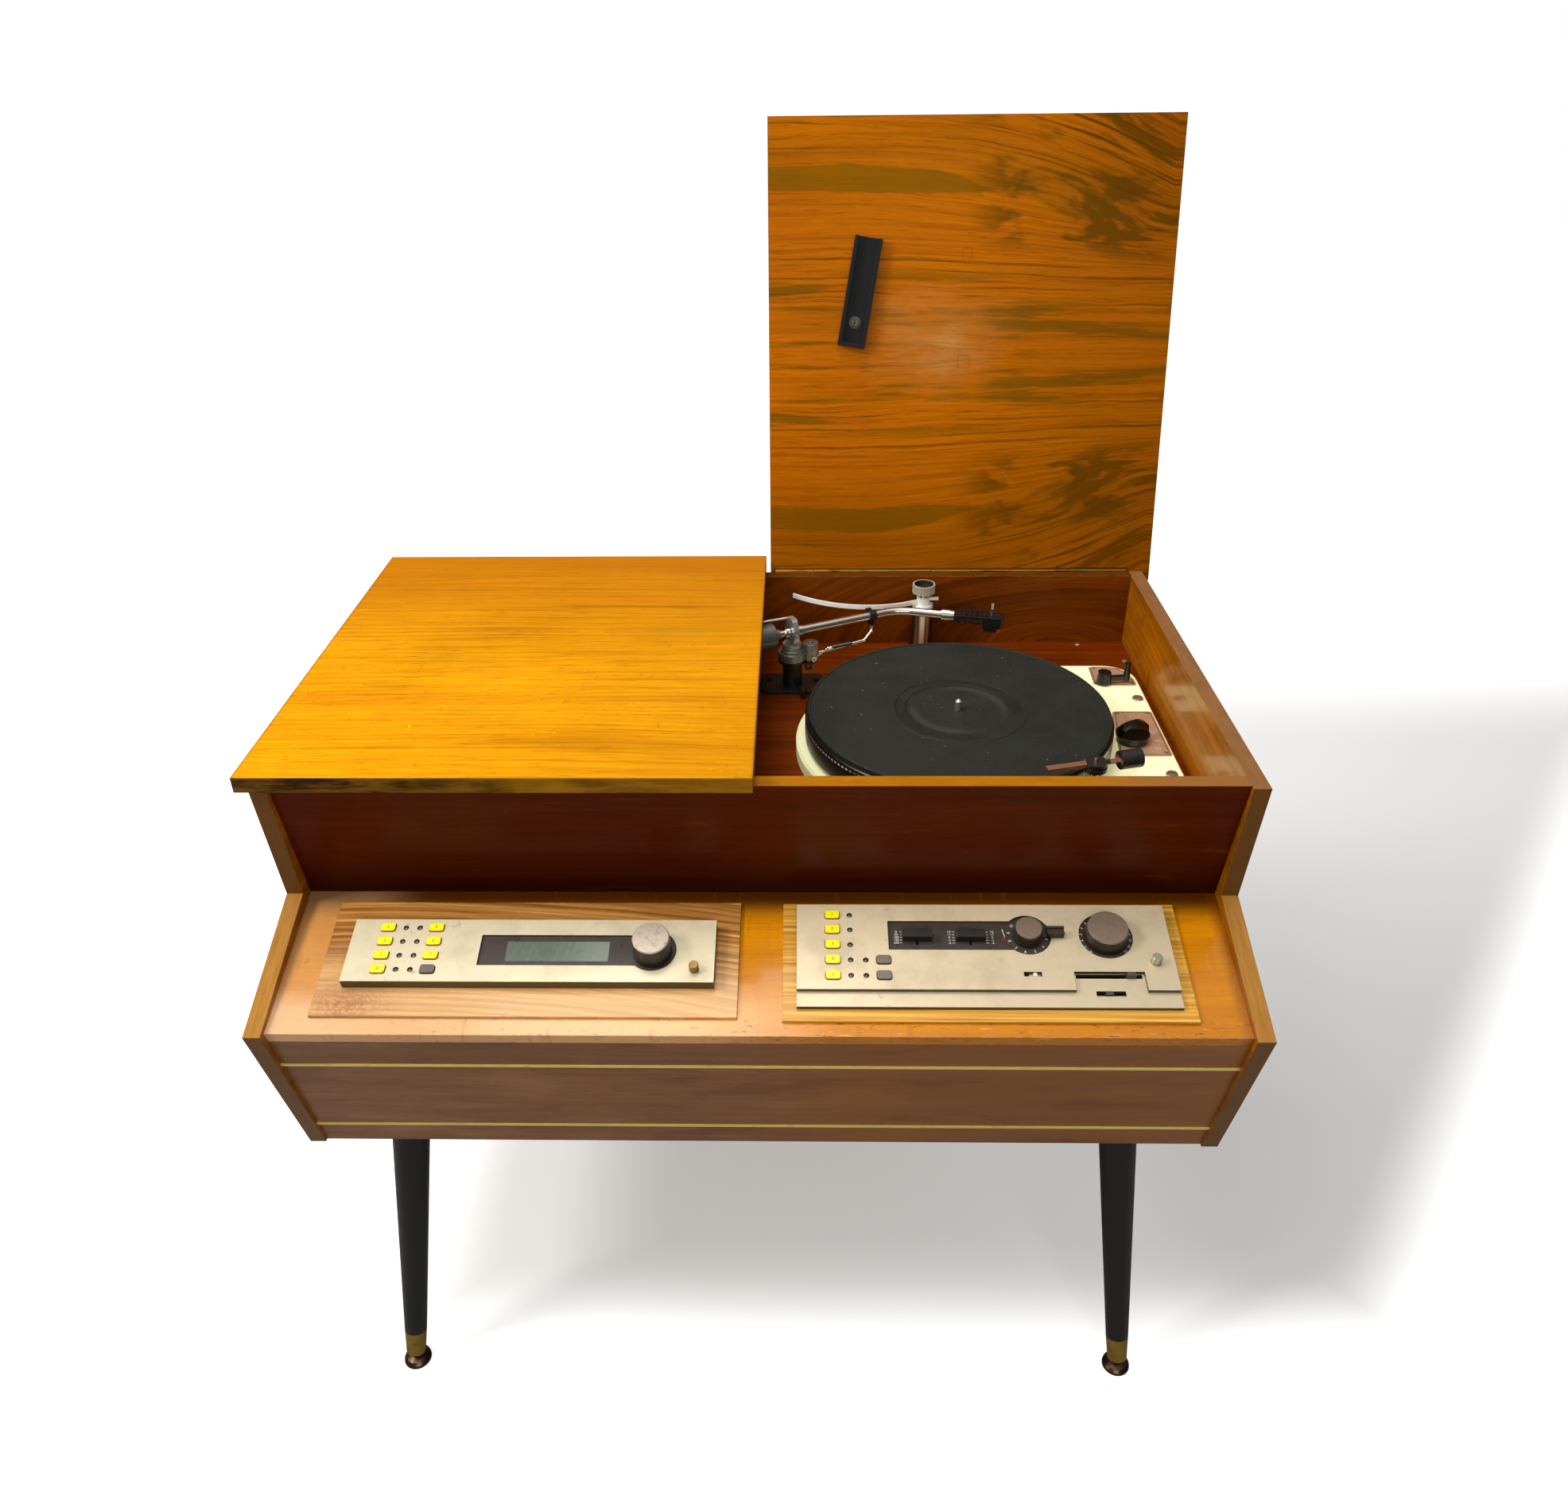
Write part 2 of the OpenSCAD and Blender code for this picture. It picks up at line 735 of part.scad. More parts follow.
// turned knob with a bevelled top edge and a shaft below
module turned_knob(base_z0, r_base, r_top, height, shaft) {
  translate([0, 0, base_z0]) {
    cylinder(r1 = r_base, r2 = r_top + 0.4, h = height - 1);
    translate([0, 0, height - 1]) cylinder(r1 = r_top + 0.4, r2 = r_top - 0.4, h = 1);
    translate([0, 0, -shaft]) cylinder(r = 3, h = shaft + 1);
  }
}

module tuning_knob() {
  color("dimgray") on_desk() translate([dial_x, dial_s, 0])
    turned_knob(tuner_face - inset_drop + 0.4, 17, 15.8, 20.6, 20);
}

module volume_knob() {
  color("dimgray") on_desk() translate([volume_x, volume_s, 0])
    turned_knob(amp_face - inset_drop + 0.4, 19.3, 17.2, 14.6, 20);
}

module filter_knob() {
  color("dimgray") on_desk() translate([filter_x, filter_s, 0])
    turned_knob(amp_face + 1.8, 12.6, 11.3, 9.6, 24);
}

module filter_lever() {
  color("dimgray") on_desk() translate([filter_x, filter_s, 0]) difference() {
    union() {
      translate([0, 0, amp_face - inset_drop + 0.3]) cylinder(r = 13, h = 3.2);
      translate([10, -3.6, amp_face + 0.4]) cube([18, 7.2, 1.3]);
      translate([16, -3.6, amp_face + 0.4]) cube([15, 7.2, 6.4]);
      translate([16, 1.6, amp_face + 0.4]) cube([15, 2, 8]);
    }
    translate([0, 0, 0]) cylinder(r = 3.06, h = 30);
  }
}

// block thumb-piece with a stem in its slot
module block_slider(x) {
  translate([x, tone_s, 0]) {
    translate([-12.7, -4.2, amp_face - inset_drop + 0.3]) cube([25.4, 8.4, 7.7]);
    translate([-0.7, -1.5, -2]) cube([1.4, 3, amp_face + 2]);
  }
}

module bass_slider() {
  color("black") on_desk() block_slider(bass_x);
}

module tilt_slider() {
  color("black") on_desk() block_slider(tilt_x);
}

module balance_slider() {
  color("dimgray") on_desk() translate([balance_x, balance_s, -4]) {
    translate([-4, -1.9, 0]) cube([8, 3.6, 15.4]);
    for (i = [-1 : 1]) translate([i * 2.2 - 0.5, -1.9, 15.4]) cube([1, 3.6, 0.5]);
  }
}

module trim_slider() {
  color("dimgray") on_desk() translate([trim_x - 3, trim_s - 1.6, surround_t + 0.2])
    cube([6, 3.2, amp_low_face + 1.4 - surround_t]);
}

module mute_slider() {
  color("gainsboro") on_desk() translate([mute_x - 2.6, mute_s - 2.1, -2]) {
    cube([9.8, 4.2, 9]);
    translate([4.6, 2.1, 8]) cylinder(r = 2, h = 4.4);
  }
}

module preset_buttons() {
  color("yellow") on_desk() {
    for (s = tuner_rows) translate([tuner_cols[0], s, 0]) button_cap(tuner_face);
    for (i = [1 : 3]) translate([tuner_cols[1], tuner_rows[i], 0]) button_cap(tuner_face);
  }
}

module mono_button() {
  color("gray") on_desk() translate([tuner_cols[1], tuner_rows[0], 0]) button_cap(tuner_face);
}

module source_buttons() {
  color("yellow") on_desk() for (s = amp_rows) translate([amp_col, s, 0]) button_cap(amp_face);
}

module monitor_buttons() {
  color("gray") on_desk() for (s = [amp_rows[0], amp_rows[1]])
    translate([monitor_col, s, 0]) button_cap(amp_face);
}

// round latching push button
module push_button(face) {
  translate([0, 0, surround_t - 8]) cylinder(r = push_r, h = face + 7.2 - surround_t + 8);
  translate([0, 0, face + 7.2]) cylinder(r1 = push_r, r2 = push_r - 0.4, h = 0.4);
}

module tuner_power_button() {
  color("goldenrod") on_desk() translate([tuner_power[0], tuner_power[1], 0]) push_button(tuner_face);
}

module preamp_power_button() {
  color("silver") on_desk() translate([amp_power[0], amp_power[1], 0]) push_button(amp_face);
}

// ---------- record deck ----------

// plan of the die-cast chassis, drawn smaller by inset
module chassis_plan(inset) {
  w = chassis_right - deck_x;
  h = chassis_back - chassis_front;
  translate([deck_x, deck_y]) circle(chassis_r - inset, $fn = 128);
  translate([deck_x + inset - 11, chassis_front + inset])
    square([w + 11 - chassis_corner - inset, h - 2 * inset]);
  translate([deck_x, chassis_front + chassis_corner])
    square([w - inset, h - 2 * chassis_corner]);
  for (y = [chassis_front + chassis_corner, chassis_back - chassis_corner])
    translate([chassis_right - chassis_corner, y]) circle(chassis_corner - inset);
}

module idler_at() {
  translate([deck_x + idler_reach * cos(idler_angle), deck_y + idler_reach * sin(idler_angle), 0])
    children();
}

module pulley_at() {
  translate([deck_x + pulley_reach * cos(idler_angle), deck_y + pulley_reach * sin(idler_angle), 0])
    children();
}

module chassis_plate() {
  color("ivory") from_front() difference() {
    union() {
      translate([0, 0, well_z]) linear_extrude(chassis_h - 2.5) chassis_plan(0);
      translate([0, 0, chassis_z - 2.5]) linear_extrude(1.25) chassis_plan(0.8);
      translate([0, 0, chassis_z - 1.25]) linear_extrude(1.25) chassis_plan(2);
      translate([deck_x, deck_y, well_z - 30]) cylinder(r = 13, h = chassis_h + 29);
      idler_at() translate([0, 0, chassis_z]) cylinder(r = 5, h = 6);
      idler_at() translate([0, 0, chassis_z + 5]) cylinder(r = 2, h = 10);
    }
    difference() {
      translate([0, 0, well_z - 1]) linear_extrude(chassis_h - chassis_wall + 1)
        chassis_plan(chassis_wall);
      translate([deck_x, deck_y, well_z - 2]) cylinder(r = 13, h = chassis_h);
    }
    translate([deck_x, deck_y, well_z - 24.3]) cylinder(r = bearing_r + 0.05, h = chassis_h + 40);
    pulley_at() translate([0, 0, well_z]) cylinder(r = 9, h = chassis_h + 1);
    translate([lever_x, lever_y, well_z]) cylinder(r = 3.05, h = chassis_h + 1);
    translate([speed_x, speed_y, well_z]) cylinder(r = 3.05, h = chassis_h + 1);
    for (p = deck_screws) translate([p[0], p[1], well_z]) cylinder(r = 2.5, h = chassis_h + 1);
  }
}

// bronze control plates with their screws, and the slotted screws that hold the chassis
module chassis_trim() {
  color("rosybrown") from_front() {
    difference() {
      translate([0, 0, chassis_z]) linear_extrude(1) {
        translate([lever_x, lever_y]) polygon([
          [-8.9, 36.1], [-3.9, 38.1], [10.1, 37.7], [23.1, 34.1], [30.1, 24.6],
          [34.1, 10.1], [34.7, -2.9], [32.1, -5.1], [-6.9, -5.1], [-10.5, -2.4]
        ]);
        translate([speed_x, speed_y]) polygon([
          [-5, 58.4], [31, 58.4], [32.8, 56.6], [32.8, -28], [30.6, -30.2],
          [-16, -30.2], [-18, -28], [-7.6, 56]
        ]);
      }
      translate([lever_x, lever_y, chassis_z - 1]) cylinder(r = 3.05, h = 3);
      translate([speed_x, speed_y, chassis_z - 1]) cylinder(r = 3.05, h = 3);
    }
    for (p = [[-4.4, 33.6], [29.6, -0.9]]) translate([lever_x + p[0], lever_y + p[1], chassis_z + 1])
      cylinder(r1 = 2.2, r2 = 1.8, h = 0.8);
    for (p = [[27.6, 54], [27.6, -25], [-12, -25], [-3, 54]])
      translate([speed_x + p[0], speed_y + p[1], chassis_z + 1]) cylinder(r1 = 2.2, r2 = 1.8, h = 0.8);
    for (p = deck_screws) translate([p[0], p[1], 0]) difference() {
      union() {
        translate([0, 0, chassis_z - chassis_wall - 10]) cylinder(r = 2.45, h = 14.5);
        translate([0, 0, chassis_z]) cylinder(r1 = 6, r2 = 5, h = 2);
      }
      translate([-7, -0.7, chassis_z + 1]) cube([14, 1.4, 2]);
    }
  }
}

module drive_motor() {
  low = well_z - motor_drop;
  color("darkgray") from_front() pulley_at() {
    difference() {
      translate([0, 0, low]) cylinder(r = motor_r, h = motor_len);
      translate([0, 0, low + 20]) cylinder(r = 2.56, h = motor_len);
    }
    for (a = [20 : 90 : 290]) rotate([0, 0, a]) translate([motor_r - 6, 0, low + motor_len - 1])
      cylinder(r = 4, h = chassis_z - chassis_wall - hair - low - motor_len + 1);
  }
}

module motor_pulley() {
  color("gold") from_front() pulley_at() {
    translate([0, 0, chassis_z + 3.5]) cylinder(r = pulley_r, h = 9);
    translate([0, 0, chassis_z + 12]) cylinder(r = pulley_r - 1.6, h = 3);
    translate([0, 0, well_z - shelf_thickness - 30]) cylinder(r = 2.5, h = chassis_h + 49);
  }
}

module idler_wheel() {
  color("black") from_front() idler_at() difference() {
    union() {
      translate([0, 0, chassis_z + 6.3]) cylinder(r = idler_r, h = 5.4);
      translate([0, 0, chassis_z + 6.3]) cylinder(r = 7, h = 7.6);
    }
    translate([0, 0, chassis_z + 5]) cylinder(r = 2.06, h = 12);
    translate([0, 0, chassis_z + 9.7]) rotate_extrude() polygon([[9, 0], [20, 0], [20, 4], [9, 4]]);
  }
}

module platter() {
  color("silver") from_front() translate([deck_x, deck_y, 0]) rotate_extrude($fn = 128)
    polygon([
      [0, well_z - 24], [bearing_r, well_z - 24], [bearing_r, platter_z],
      [20, platter_z + 3], [20, platter_top - web_t], [rim_r, platter_top - web_t],
      [rim_r, platter_z + 1], [rim_r + 1, platter_z], [platter_r - 1.5, platter_z],
      [platter_r, platter_z + 1.5], [platter_r, platter_top - 1], [platter_r - 1, platter_top],
      [spindle_r, platter_top], [spindle_r, mat_top + 8], [1.2, mat_top + 10], [0, mat_top + 10]
    ]);
}

// rubber mat with a dished label area and shallow bands
module platter_mat() {
  color("dimgray") from_front() translate([deck_x, deck_y, platter_top]) rotate_extrude($fn = 128)
    polygon([
      [spindle_r + 0.06, 0], [mat_r, 0], [mat_r, mat_t - 0.8], [mat_r - 0.8, mat_t],
      [mat_r - 2.6, mat_t], [mat_r - 3.2, mat_t - 0.7], [68, mat_t - 0.7], [67.4, mat_t - 0.2],
      [62, mat_t - 0.2], [61.4, mat_t - 0.9], [52, mat_t - 0.9], [51.2, mat_t - 1.6],
      [spindle_r + 0.06, mat_t - 1.6]
    ]);
}

module speed_knob() {
  color("black") from_front() translate([speed_x, speed_y, chassis_z + 1.3]) {
    difference() {
      rotate_extrude() polygon([
        [0, 0], [15.4, 0], [14.4, 5], [16.8, 5.6], [16.6, 12], [15.4, 15.6], [12.6, 18],
        [8, 19.3], [0, 19.8]
      ]);
      rotate([0, 0, 28]) for (s = [-1, 1]) translate([-20, s * 13 - 8, 8]) cube([40, 16, 20]);
    }
    translate([0, 0, -9]) cylinder(r = 3, h = 10);
  }
}

module start_lever() {
  color("black") from_front() translate([lever_x, lever_y, chassis_z + 1.3]) {
    cylinder(r1 = 8.2, r2 = 7, h = 13);
    rotate([0, 0, 5]) {
      translate([4, -2.6, 3]) cube([lever_reach - 4, 5.2, 4.5]);
      translate([lever_reach, 0, 2.6]) rotate_extrude()
        polygon([[0, 0], [3.9, 0], [3, 19], [2.5, 20.8], [1.5, 21.8], [0, 22.2]]);
    }
    translate([0, 0, -9]) cylinder(r = 3, h = 10);
  }
}

// ---------- tonearm ----------

module arm_pedestal() {
  color("gray") from_front() translate([arm_x, arm_y, 0]) {
    difference() {
      translate([0, 0, well_z]) round_block(68, 42, 8, 4);
      for (x = [-26, 26]) translate([x, 0, well_z - 1]) round_block(4, 20, 1.9, 6);
    }
    translate([11.5, -19, well_z + 6.5]) rotate([90, 0, 0]) cylinder(r = 3.4, h = 13);
    translate([11.5, -19, well_z + 2]) cylinder(r = 4.4, h = 6);
    translate([0, 0, well_z + 3]) cylinder(r = 10.5, h = turret_z - well_z - 9);
    translate([0, 0, turret_z - 18]) cylinder(r = 15, h = 11.5);
    translate([0, 0, turret_z - 7]) cylinder(r = 12.6, h = 4);
    translate([0, 0, turret_z - 4]) cylinder(r = 11, h = 4);
    translate([10, -5, turret_z - 16.5]) cube([8, 10, 8.5]);
    translate([dashpot_dx, 0, turret_z - 18]) rotate([0, 0, 22.5]) cylinder(r = 8.8, h = 22, $fn = 8);
    translate([dashpot_dx, 0, turret_z + 3]) cylinder(r = 2.6, h = 3);
    translate([dashpot_dx + cue_dx, -7, turret_z - 11]) rotate([90, 0, 0])
      cylinder(r = cue_pin_r, h = 5.2);
    translate([dashpot_dx - 2, -8, turret_z - 20]) rotate([90, 0, 0]) difference() {
      cylinder(r = 4.2, h = 3);
      translate([0, 0, -1]) cylinder(r = 2.4, h = 5);
    }
  }
}

// bent chrome rod that carries the parked arm
module arm_rest() {
  low = turret_z - 10;
  a = [dashpot_dx * cos(arm_heading) + 9.24, -dashpot_dx * sin(arm_heading) - 1.05, low];
  b = [sleeve_at - 17, -15.5, arm_z - 20];
  c = [sleeve_at - 5.5, -10, arm_z - 13.5];
  d = [sleeve_at, -0.6, arm_z - 9.2];
  color("silver") along_arm() {
    rod(a, b, rest_r);
    translate(b) rotate([37, 22, 0]) sphere(r = rest_r + 0.45);
    rod(b, c, rest_r);
    translate(c) rotate([37, 22, 0]) sphere(r = rest_r + 0.45);
    rod(c, d, rest_r);
    translate([sleeve_at - 3, 0, arm_z]) rotate([90, 0, 90]) linear_extrude(6) {
      intersection() {
        difference() {
          circle(10.2);
          circle(6.4);
        }
        translate([0, -12]) square([12, 12]);
      }
      translate([6.4, -0.1]) square([3.8, 5]);
      translate([-2.4, -10.1]) square([2.8, 3.7]);
    }
  }
}

module arm_yoke() {
  color("darkgray") along_arm() {
    translate([0, 0, turret_z + 0.3]) cylinder(r = 10.4, h = 3);
    difference() {
      translate([-3, 0, turret_z + 2.4]) rotate([90, 0, 90]) linear_extrude(6)
        polygon([
          [-5, 0], [5, 0], [11, 5], [12.5, 12], [12, 20], [8, 28], [5, 30.6],
          [-5, 30.6], [-8, 28], [-12, 20], [-12.5, 12], [-11, 5]
        ]);
      translate([-4, 0, arm_z]) rotate([0, 90, 0]) cylinder(r = 7, h = 8);
    }
    for (s = [-1, 1]) rod([0, s * 5, arm_z], [0, s * 13.6, arm_z], 1);
    rod([-2.5, 8, arm_z + 13.4], [-30, 13.5, arm_z + 11.6], 1.3);
  }
}

module arm_tube() {
  turn = 90 - arm_bend;
  end_x = arm_straight + bend_r * cos(turn);
  end_y = -bend_r + bend_r * sin(turn);
  color("silver") along_arm() {
    difference() {
      translate([-9, 0, arm_z]) rotate([0, 90, 0]) cylinder(r = 5.4, h = 20);
      for (s = [-1, 1]) rod([0, s * 4.8, arm_z], [0, s * 7, arm_z], 1.06);
    }
    translate([-52, 0, arm_z]) rotate([0, 90, 0]) cylinder(r = 3.6, h = 44);
    translate([10, 0, arm_z]) rotate([0, 90, 0])
      cylinder(r = arm_tube_r, h = arm_straight - 10 + tube_lap);
    translate([sleeve_at - 4, 0, arm_z]) rotate([0, 90, 0]) cylinder(r = 6, h = 8);
    translate([arm_straight, -bend_r, arm_z]) rotate([0, 0, turn])
      rotate_extrude(angle = arm_bend) translate([bend_r, 0]) circle(arm_tube_r - 0.02);
    translate([end_x, end_y, arm_z]) rotate([0, 0, -arm_bend]) rotate([0, 90, 0]) {
      translate([0, 0, -tube_lap]) cylinder(r = arm_tube_r, h = arm_end - 13 + tube_lap);
      translate([0, 0, arm_end - 13.5]) cylinder(r = 6.3, h = 9);
      translate([0, 0, arm_end - 5]) cylinder(r = 5.6, h = 5);
    }
  }
}

// places headshell parts: X forward along the shell, origin at the collar's end
module at_shell() {
  turn = 90 - arm_bend;
  along_arm() translate([arm_straight + bend_r * cos(turn), -bend_r + bend_r * sin(turn), arm_z])
    rotate([0, 0, -arm_bend]) translate([arm_end, 0, 0]) children();
}

module headshell() {
  color("black") at_shell() {
    difference() {
      translate([0, 0, -4]) linear_extrude(8.4)
        polygon([[0, -6], [5, -9.6], [shell_len - 2, -9], [shell_len, -7],
          [shell_len, 7], [shell_len - 2, 9], [5, 9.6], [0, 6]]);
      translate([3, 0, -5]) linear_extrude(7.6)
        polygon([[0, -4], [4, -8.1], [shell_len - 4.6, -7.5], [shell_len - 4.6, 7.5], [4, 8.1], [0, 4]]);
      for (i = [0 : 6], j = [-1 : 1]) translate([9 + i * 5.6, j * 5, 1]) cylinder(r = 1.7, h = 5);
      for (i = [0 : 4]) translate([9 + i * 7, -12, -0.6]) rotate([-90, 0, 0]) cylinder(r = 2.4, h = 24);
    }
    translate([shell_len - 15, 8, 3]) cube([2.6, 6, 1]);
    translate([shell_len - 15, 13, 3]) cube([2.6, 1, 9]);
  }
}

module cartridge() {
  color("black") at_shell() {
    translate([shell_len - 22, -7.2, -9]) cube([16, 14.4, 11.6]);
    translate([shell_len - 21, -6, -13.5]) cube([18, 12, 4.6]);
    translate([shell_len - 8, -2.4, -15.4]) cube([5, 4.8, 2]);
    translate([shell_len - 5, 0, -16.6]) cylinder(r1 = 0.4, r2 = 1, h = 1.6);
  }
}

module counterweight() {
  color("gray") along_arm() translate([-22, 0, arm_z]) rotate([0, -90, 0]) difference() {
    union() {
      cylinder(r = counterweight_r - 1, h = 1);
      translate([0, 0, 1]) cylinder(r = counterweight_r, h = 24);
      translate([0, 0, -6.5]) cylinder(r = 5.4, h = 7);
    }
    translate([0, 0, -8]) cylinder(r = 3.66, h = 40);
  }
}

module cue_lever() {
  color("silver") from_front()
    translate([arm_x + dashpot_dx + cue_dx, arm_y - 8.5, turret_z - 11]) difference() {
      union() {
        rotate([90, 0, 0]) cylinder(r = 2.8, h = 3.4);
        rod([0, -1.7, 0], [15, -1.7, 13], 1);
        translate([15, -1.7, 13]) rotate([37, 22, 0]) sphere(r = 1.4);
        rod([15, -1.7, 13], [41, -1.7, 19], 1);
        rod([20, -1.7, 14.154], [40, -1.7, 18.769], 2);
      }
      translate([0, 1, 0]) rotate([90, 0, 0]) cylinder(r = cue_pin_r + 0.05, h = 6);
    }
}

// ---------- accessory arms ----------

module sweep_post() {
  color("silver") from_front() translate([sweep_x, sweep_y, 0]) {
    translate([0, 0, well_z]) cylinder(r = 14.4, h = 4);
    translate([0, 0, well_z + 4]) cylinder(r = 11.8, h = sweep_z - well_z - 4);
    translate([0, 0, sweep_z]) cylinder(r = 4, h = 18);
    translate([0, 0, sweep_z + 15]) cylinder(r = 7.5, h = 3);
    difference() {
      translate([0, 0, sweep_z + 18]) cylinder(r = 12.8, h = 10);
      translate([0, 0, sweep_z + 22]) cylinder(r = 10.8, h = 10);
      for (a = [0 : 15 : 345]) rotate([0, 0, a]) translate([13.3, 0, sweep_z + 18.8])
        cylinder(r = 1.1, h = 8);
    }
  }
}

// curved chrome lever that turns on the post
module sweep_arm() {
  color("silver") from_front() translate([sweep_x, sweep_y, sweep_z]) {
    difference() {
      union() {
        translate([0, 0, 0.3]) cylinder(r = 11.4, h = 3);
        translate([0, 0, 3]) cylinder(r = 7.4, h = 9);
        translate([5, -3, 9]) cube([12, 3, 3]);
      }
      translate([0, 0, -1]) cylinder(r = 4.06, h = 30);
    }
    rotate([0, 3.2, 0]) translate([-77.6, 95, 6.4]) rotate([0, 0, 233.4])
      rotate_extrude(angle = 72.6, $fn = 128) translate([118.5, -2.5]) square([1.8, 5]);
  }
}

module cleaner_post() {
  color("silver") from_front() translate([cleaner_x, cleaner_y, 0]) {
    translate([0, 0, chassis_z]) cylinder(r = 9, h = 3);
    translate([0, 0, chassis_z + 3]) cylinder(r = 3.6, h = cleaner_z - chassis_z - 3);
    translate([0, 0, cleaner_z]) cylinder(r = 1.5, h = 12);
  }
}

module cleaner_arm() {
  color("black") from_front() translate([cleaner_x, cleaner_y, cleaner_z + 0.3]) difference() {
    union() {
      cylinder(r = 10.7, h = 4);
      translate([0, 0, 4]) cylinder(r = 9.2, h = 1.4);
      translate([0, 0, 5.4]) cylinder(r = 10.2, h = 3);
      rotate([0, 0, 14]) {
        difference() {
          translate([-46, -3.4, 4.6]) cube([40, 6.8, 3.6]);
          translate([-47, -2.6, 3.6]) cube([36, 5.2, 3.6]);
        }
        translate([6, -3.4, 5.6]) cube([20, 6.8, 1]);
        translate([23, 0, 6]) rotate([0, 90, 0]) cylinder(r = 8.6, h = 20);
      }
    }
    translate([0, 0, -1]) cylinder(r = 1.56, h = 14);
  }
}

// ---------- the part ----------

side_panel_left();
side_panel_right();
upper_fascia();
control_desk();
lower_fascia();
brass_strips();
base_board();
back_panel();
rear_wall();
motor_board();
legs();
leg_ferrules();
leg_glides();
hinge_frame_leaves();
lid_left();
hinge_leaf_left();
lid_right();
hinge_leaf_right();
lid_clip();
unit_surrounds();
unit_cases();
unit_windows();
tuner_front();
tuning_knob();
tuner_power_button();
preset_buttons();
mono_button();
preamp_front();
volume_knob();
filter_knob();
filter_lever();
bass_slider();
tilt_slider();
balance_slider();
trim_slider();
mute_slider();
preamp_power_button();
source_buttons();
monitor_buttons();
chassis_plate();
chassis_trim();
drive_motor();
motor_pulley();
idler_wheel();
platter();
platter_mat();
speed_knob();
start_lever();
arm_pedestal();
arm_rest();
arm_yoke();
arm_tube();
headshell();
cartridge();
counterweight();
cue_lever();
sweep_post();
sweep_arm();
cleaner_post();
cleaner_arm();
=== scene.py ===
import bpy
import bmesh
import math
from mathutils import Matrix, Vector


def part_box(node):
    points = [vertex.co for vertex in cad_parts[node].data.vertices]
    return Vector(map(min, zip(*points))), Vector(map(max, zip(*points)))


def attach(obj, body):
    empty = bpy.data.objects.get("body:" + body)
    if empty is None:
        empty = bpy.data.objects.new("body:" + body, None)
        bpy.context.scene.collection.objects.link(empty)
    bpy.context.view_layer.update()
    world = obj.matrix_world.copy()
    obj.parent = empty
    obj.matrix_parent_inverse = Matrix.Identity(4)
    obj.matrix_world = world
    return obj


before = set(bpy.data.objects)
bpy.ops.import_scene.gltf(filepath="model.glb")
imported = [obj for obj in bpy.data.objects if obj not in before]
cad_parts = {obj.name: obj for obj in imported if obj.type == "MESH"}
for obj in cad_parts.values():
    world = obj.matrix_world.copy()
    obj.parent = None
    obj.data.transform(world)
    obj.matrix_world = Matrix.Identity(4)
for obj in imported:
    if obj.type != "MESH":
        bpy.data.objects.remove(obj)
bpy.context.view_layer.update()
scene = bpy.context.scene

# -------- camera
# solved from the straight edges of the cabinet in the photo
CAMERA_YAW, CAMERA_PITCH, CAMERA_ROLL = -0.02299, -0.54004, -0.01183
CAMERA_PLACE = Vector((0.03794, -1.12129, 1.22515))
level = math.cos(CAMERA_PITCH)
forward = Vector((math.sin(CAMERA_YAW) * level, math.cos(CAMERA_YAW) * level, math.sin(CAMERA_PITCH)))
right = Vector((math.cos(CAMERA_YAW), -math.sin(CAMERA_YAW), 0))
up = right.cross(forward)
camera_x = right * math.cos(CAMERA_ROLL) + up * math.sin(CAMERA_ROLL)
camera_y = -right * math.sin(CAMERA_ROLL) + up * math.cos(CAMERA_ROLL)
camera = bpy.data.cameras.new("camera")
camera.sensor_fit = "HORIZONTAL"
camera.sensor_width = 36
camera.lens = 28.814
camera.shift_x = 0.00495
camera.shift_y = 0.00593
stand = Matrix((camera_x, camera_y, -forward)).transposed().to_4x4()
stand.translation = CAMERA_PLACE
camera_object = bpy.data.objects.new("camera", camera)
camera_object.matrix_world = stand
scene.collection.objects.link(camera_object)
scene.camera = camera_object

# -------- frame helpers
MID_DEPTH = 351.942      # the source's y at the middle of the cabinet, in mm
DESK_Y, DESK_Z = 7, 486.3      # the front edge of the desk's top, in the source's mm
SLOPE = math.radians(16)
SLOPE_SIN, SLOPE_COS = math.sin(SLOPE), math.cos(SLOPE)
DESK_UP = (0, -SLOPE_SIN, SLOPE_COS)


def place(x, y, z):
    """A point of the source, in mm, as metres in this frame."""
    return Vector((x / 1000, (y - MID_DEPTH) / 1000, z / 1000))


def desk_matrix(x, s, h, turn=0.0):
    """A spot s mm up the desk's slope and h mm above its surface, with z square to the desk."""
    tilt = Matrix(((1, 0, 0), (0, SLOPE_COS, -SLOPE_SIN), (0, SLOPE_SIN, SLOPE_COS))).to_4x4()
    matrix = tilt @ Matrix.Rotation(turn, 4, "Z")
    matrix.translation = place(x, DESK_Y + s * SLOPE_COS - h * SLOPE_SIN,
                               DESK_Z + s * SLOPE_SIN + h * SLOPE_COS)
    return matrix


def srgb(value):
    """A screen colour such as "ff8000" as linear values with alpha. Any other value stays as it is."""
    def linear(c):
        c /= 255
        return c / 12.92 if c <= 0.04045 else ((c + 0.055) / 1.055) ** 2.4
    if not isinstance(value, str):
        return value
    return tuple(linear(int(value[i:i + 2], 16)) for i in (0, 2, 4)) + (1,)


def brighter(color, gain, lift=0.0):
    return [min(1, c * gain + lift) for c in srgb(color)[:3]] + [1]


def grey(value):
    return (value, value, value, 1)


# -------- node helpers
def new_node(tree, kind):
    return tree.nodes.new("ShaderNode" + kind)


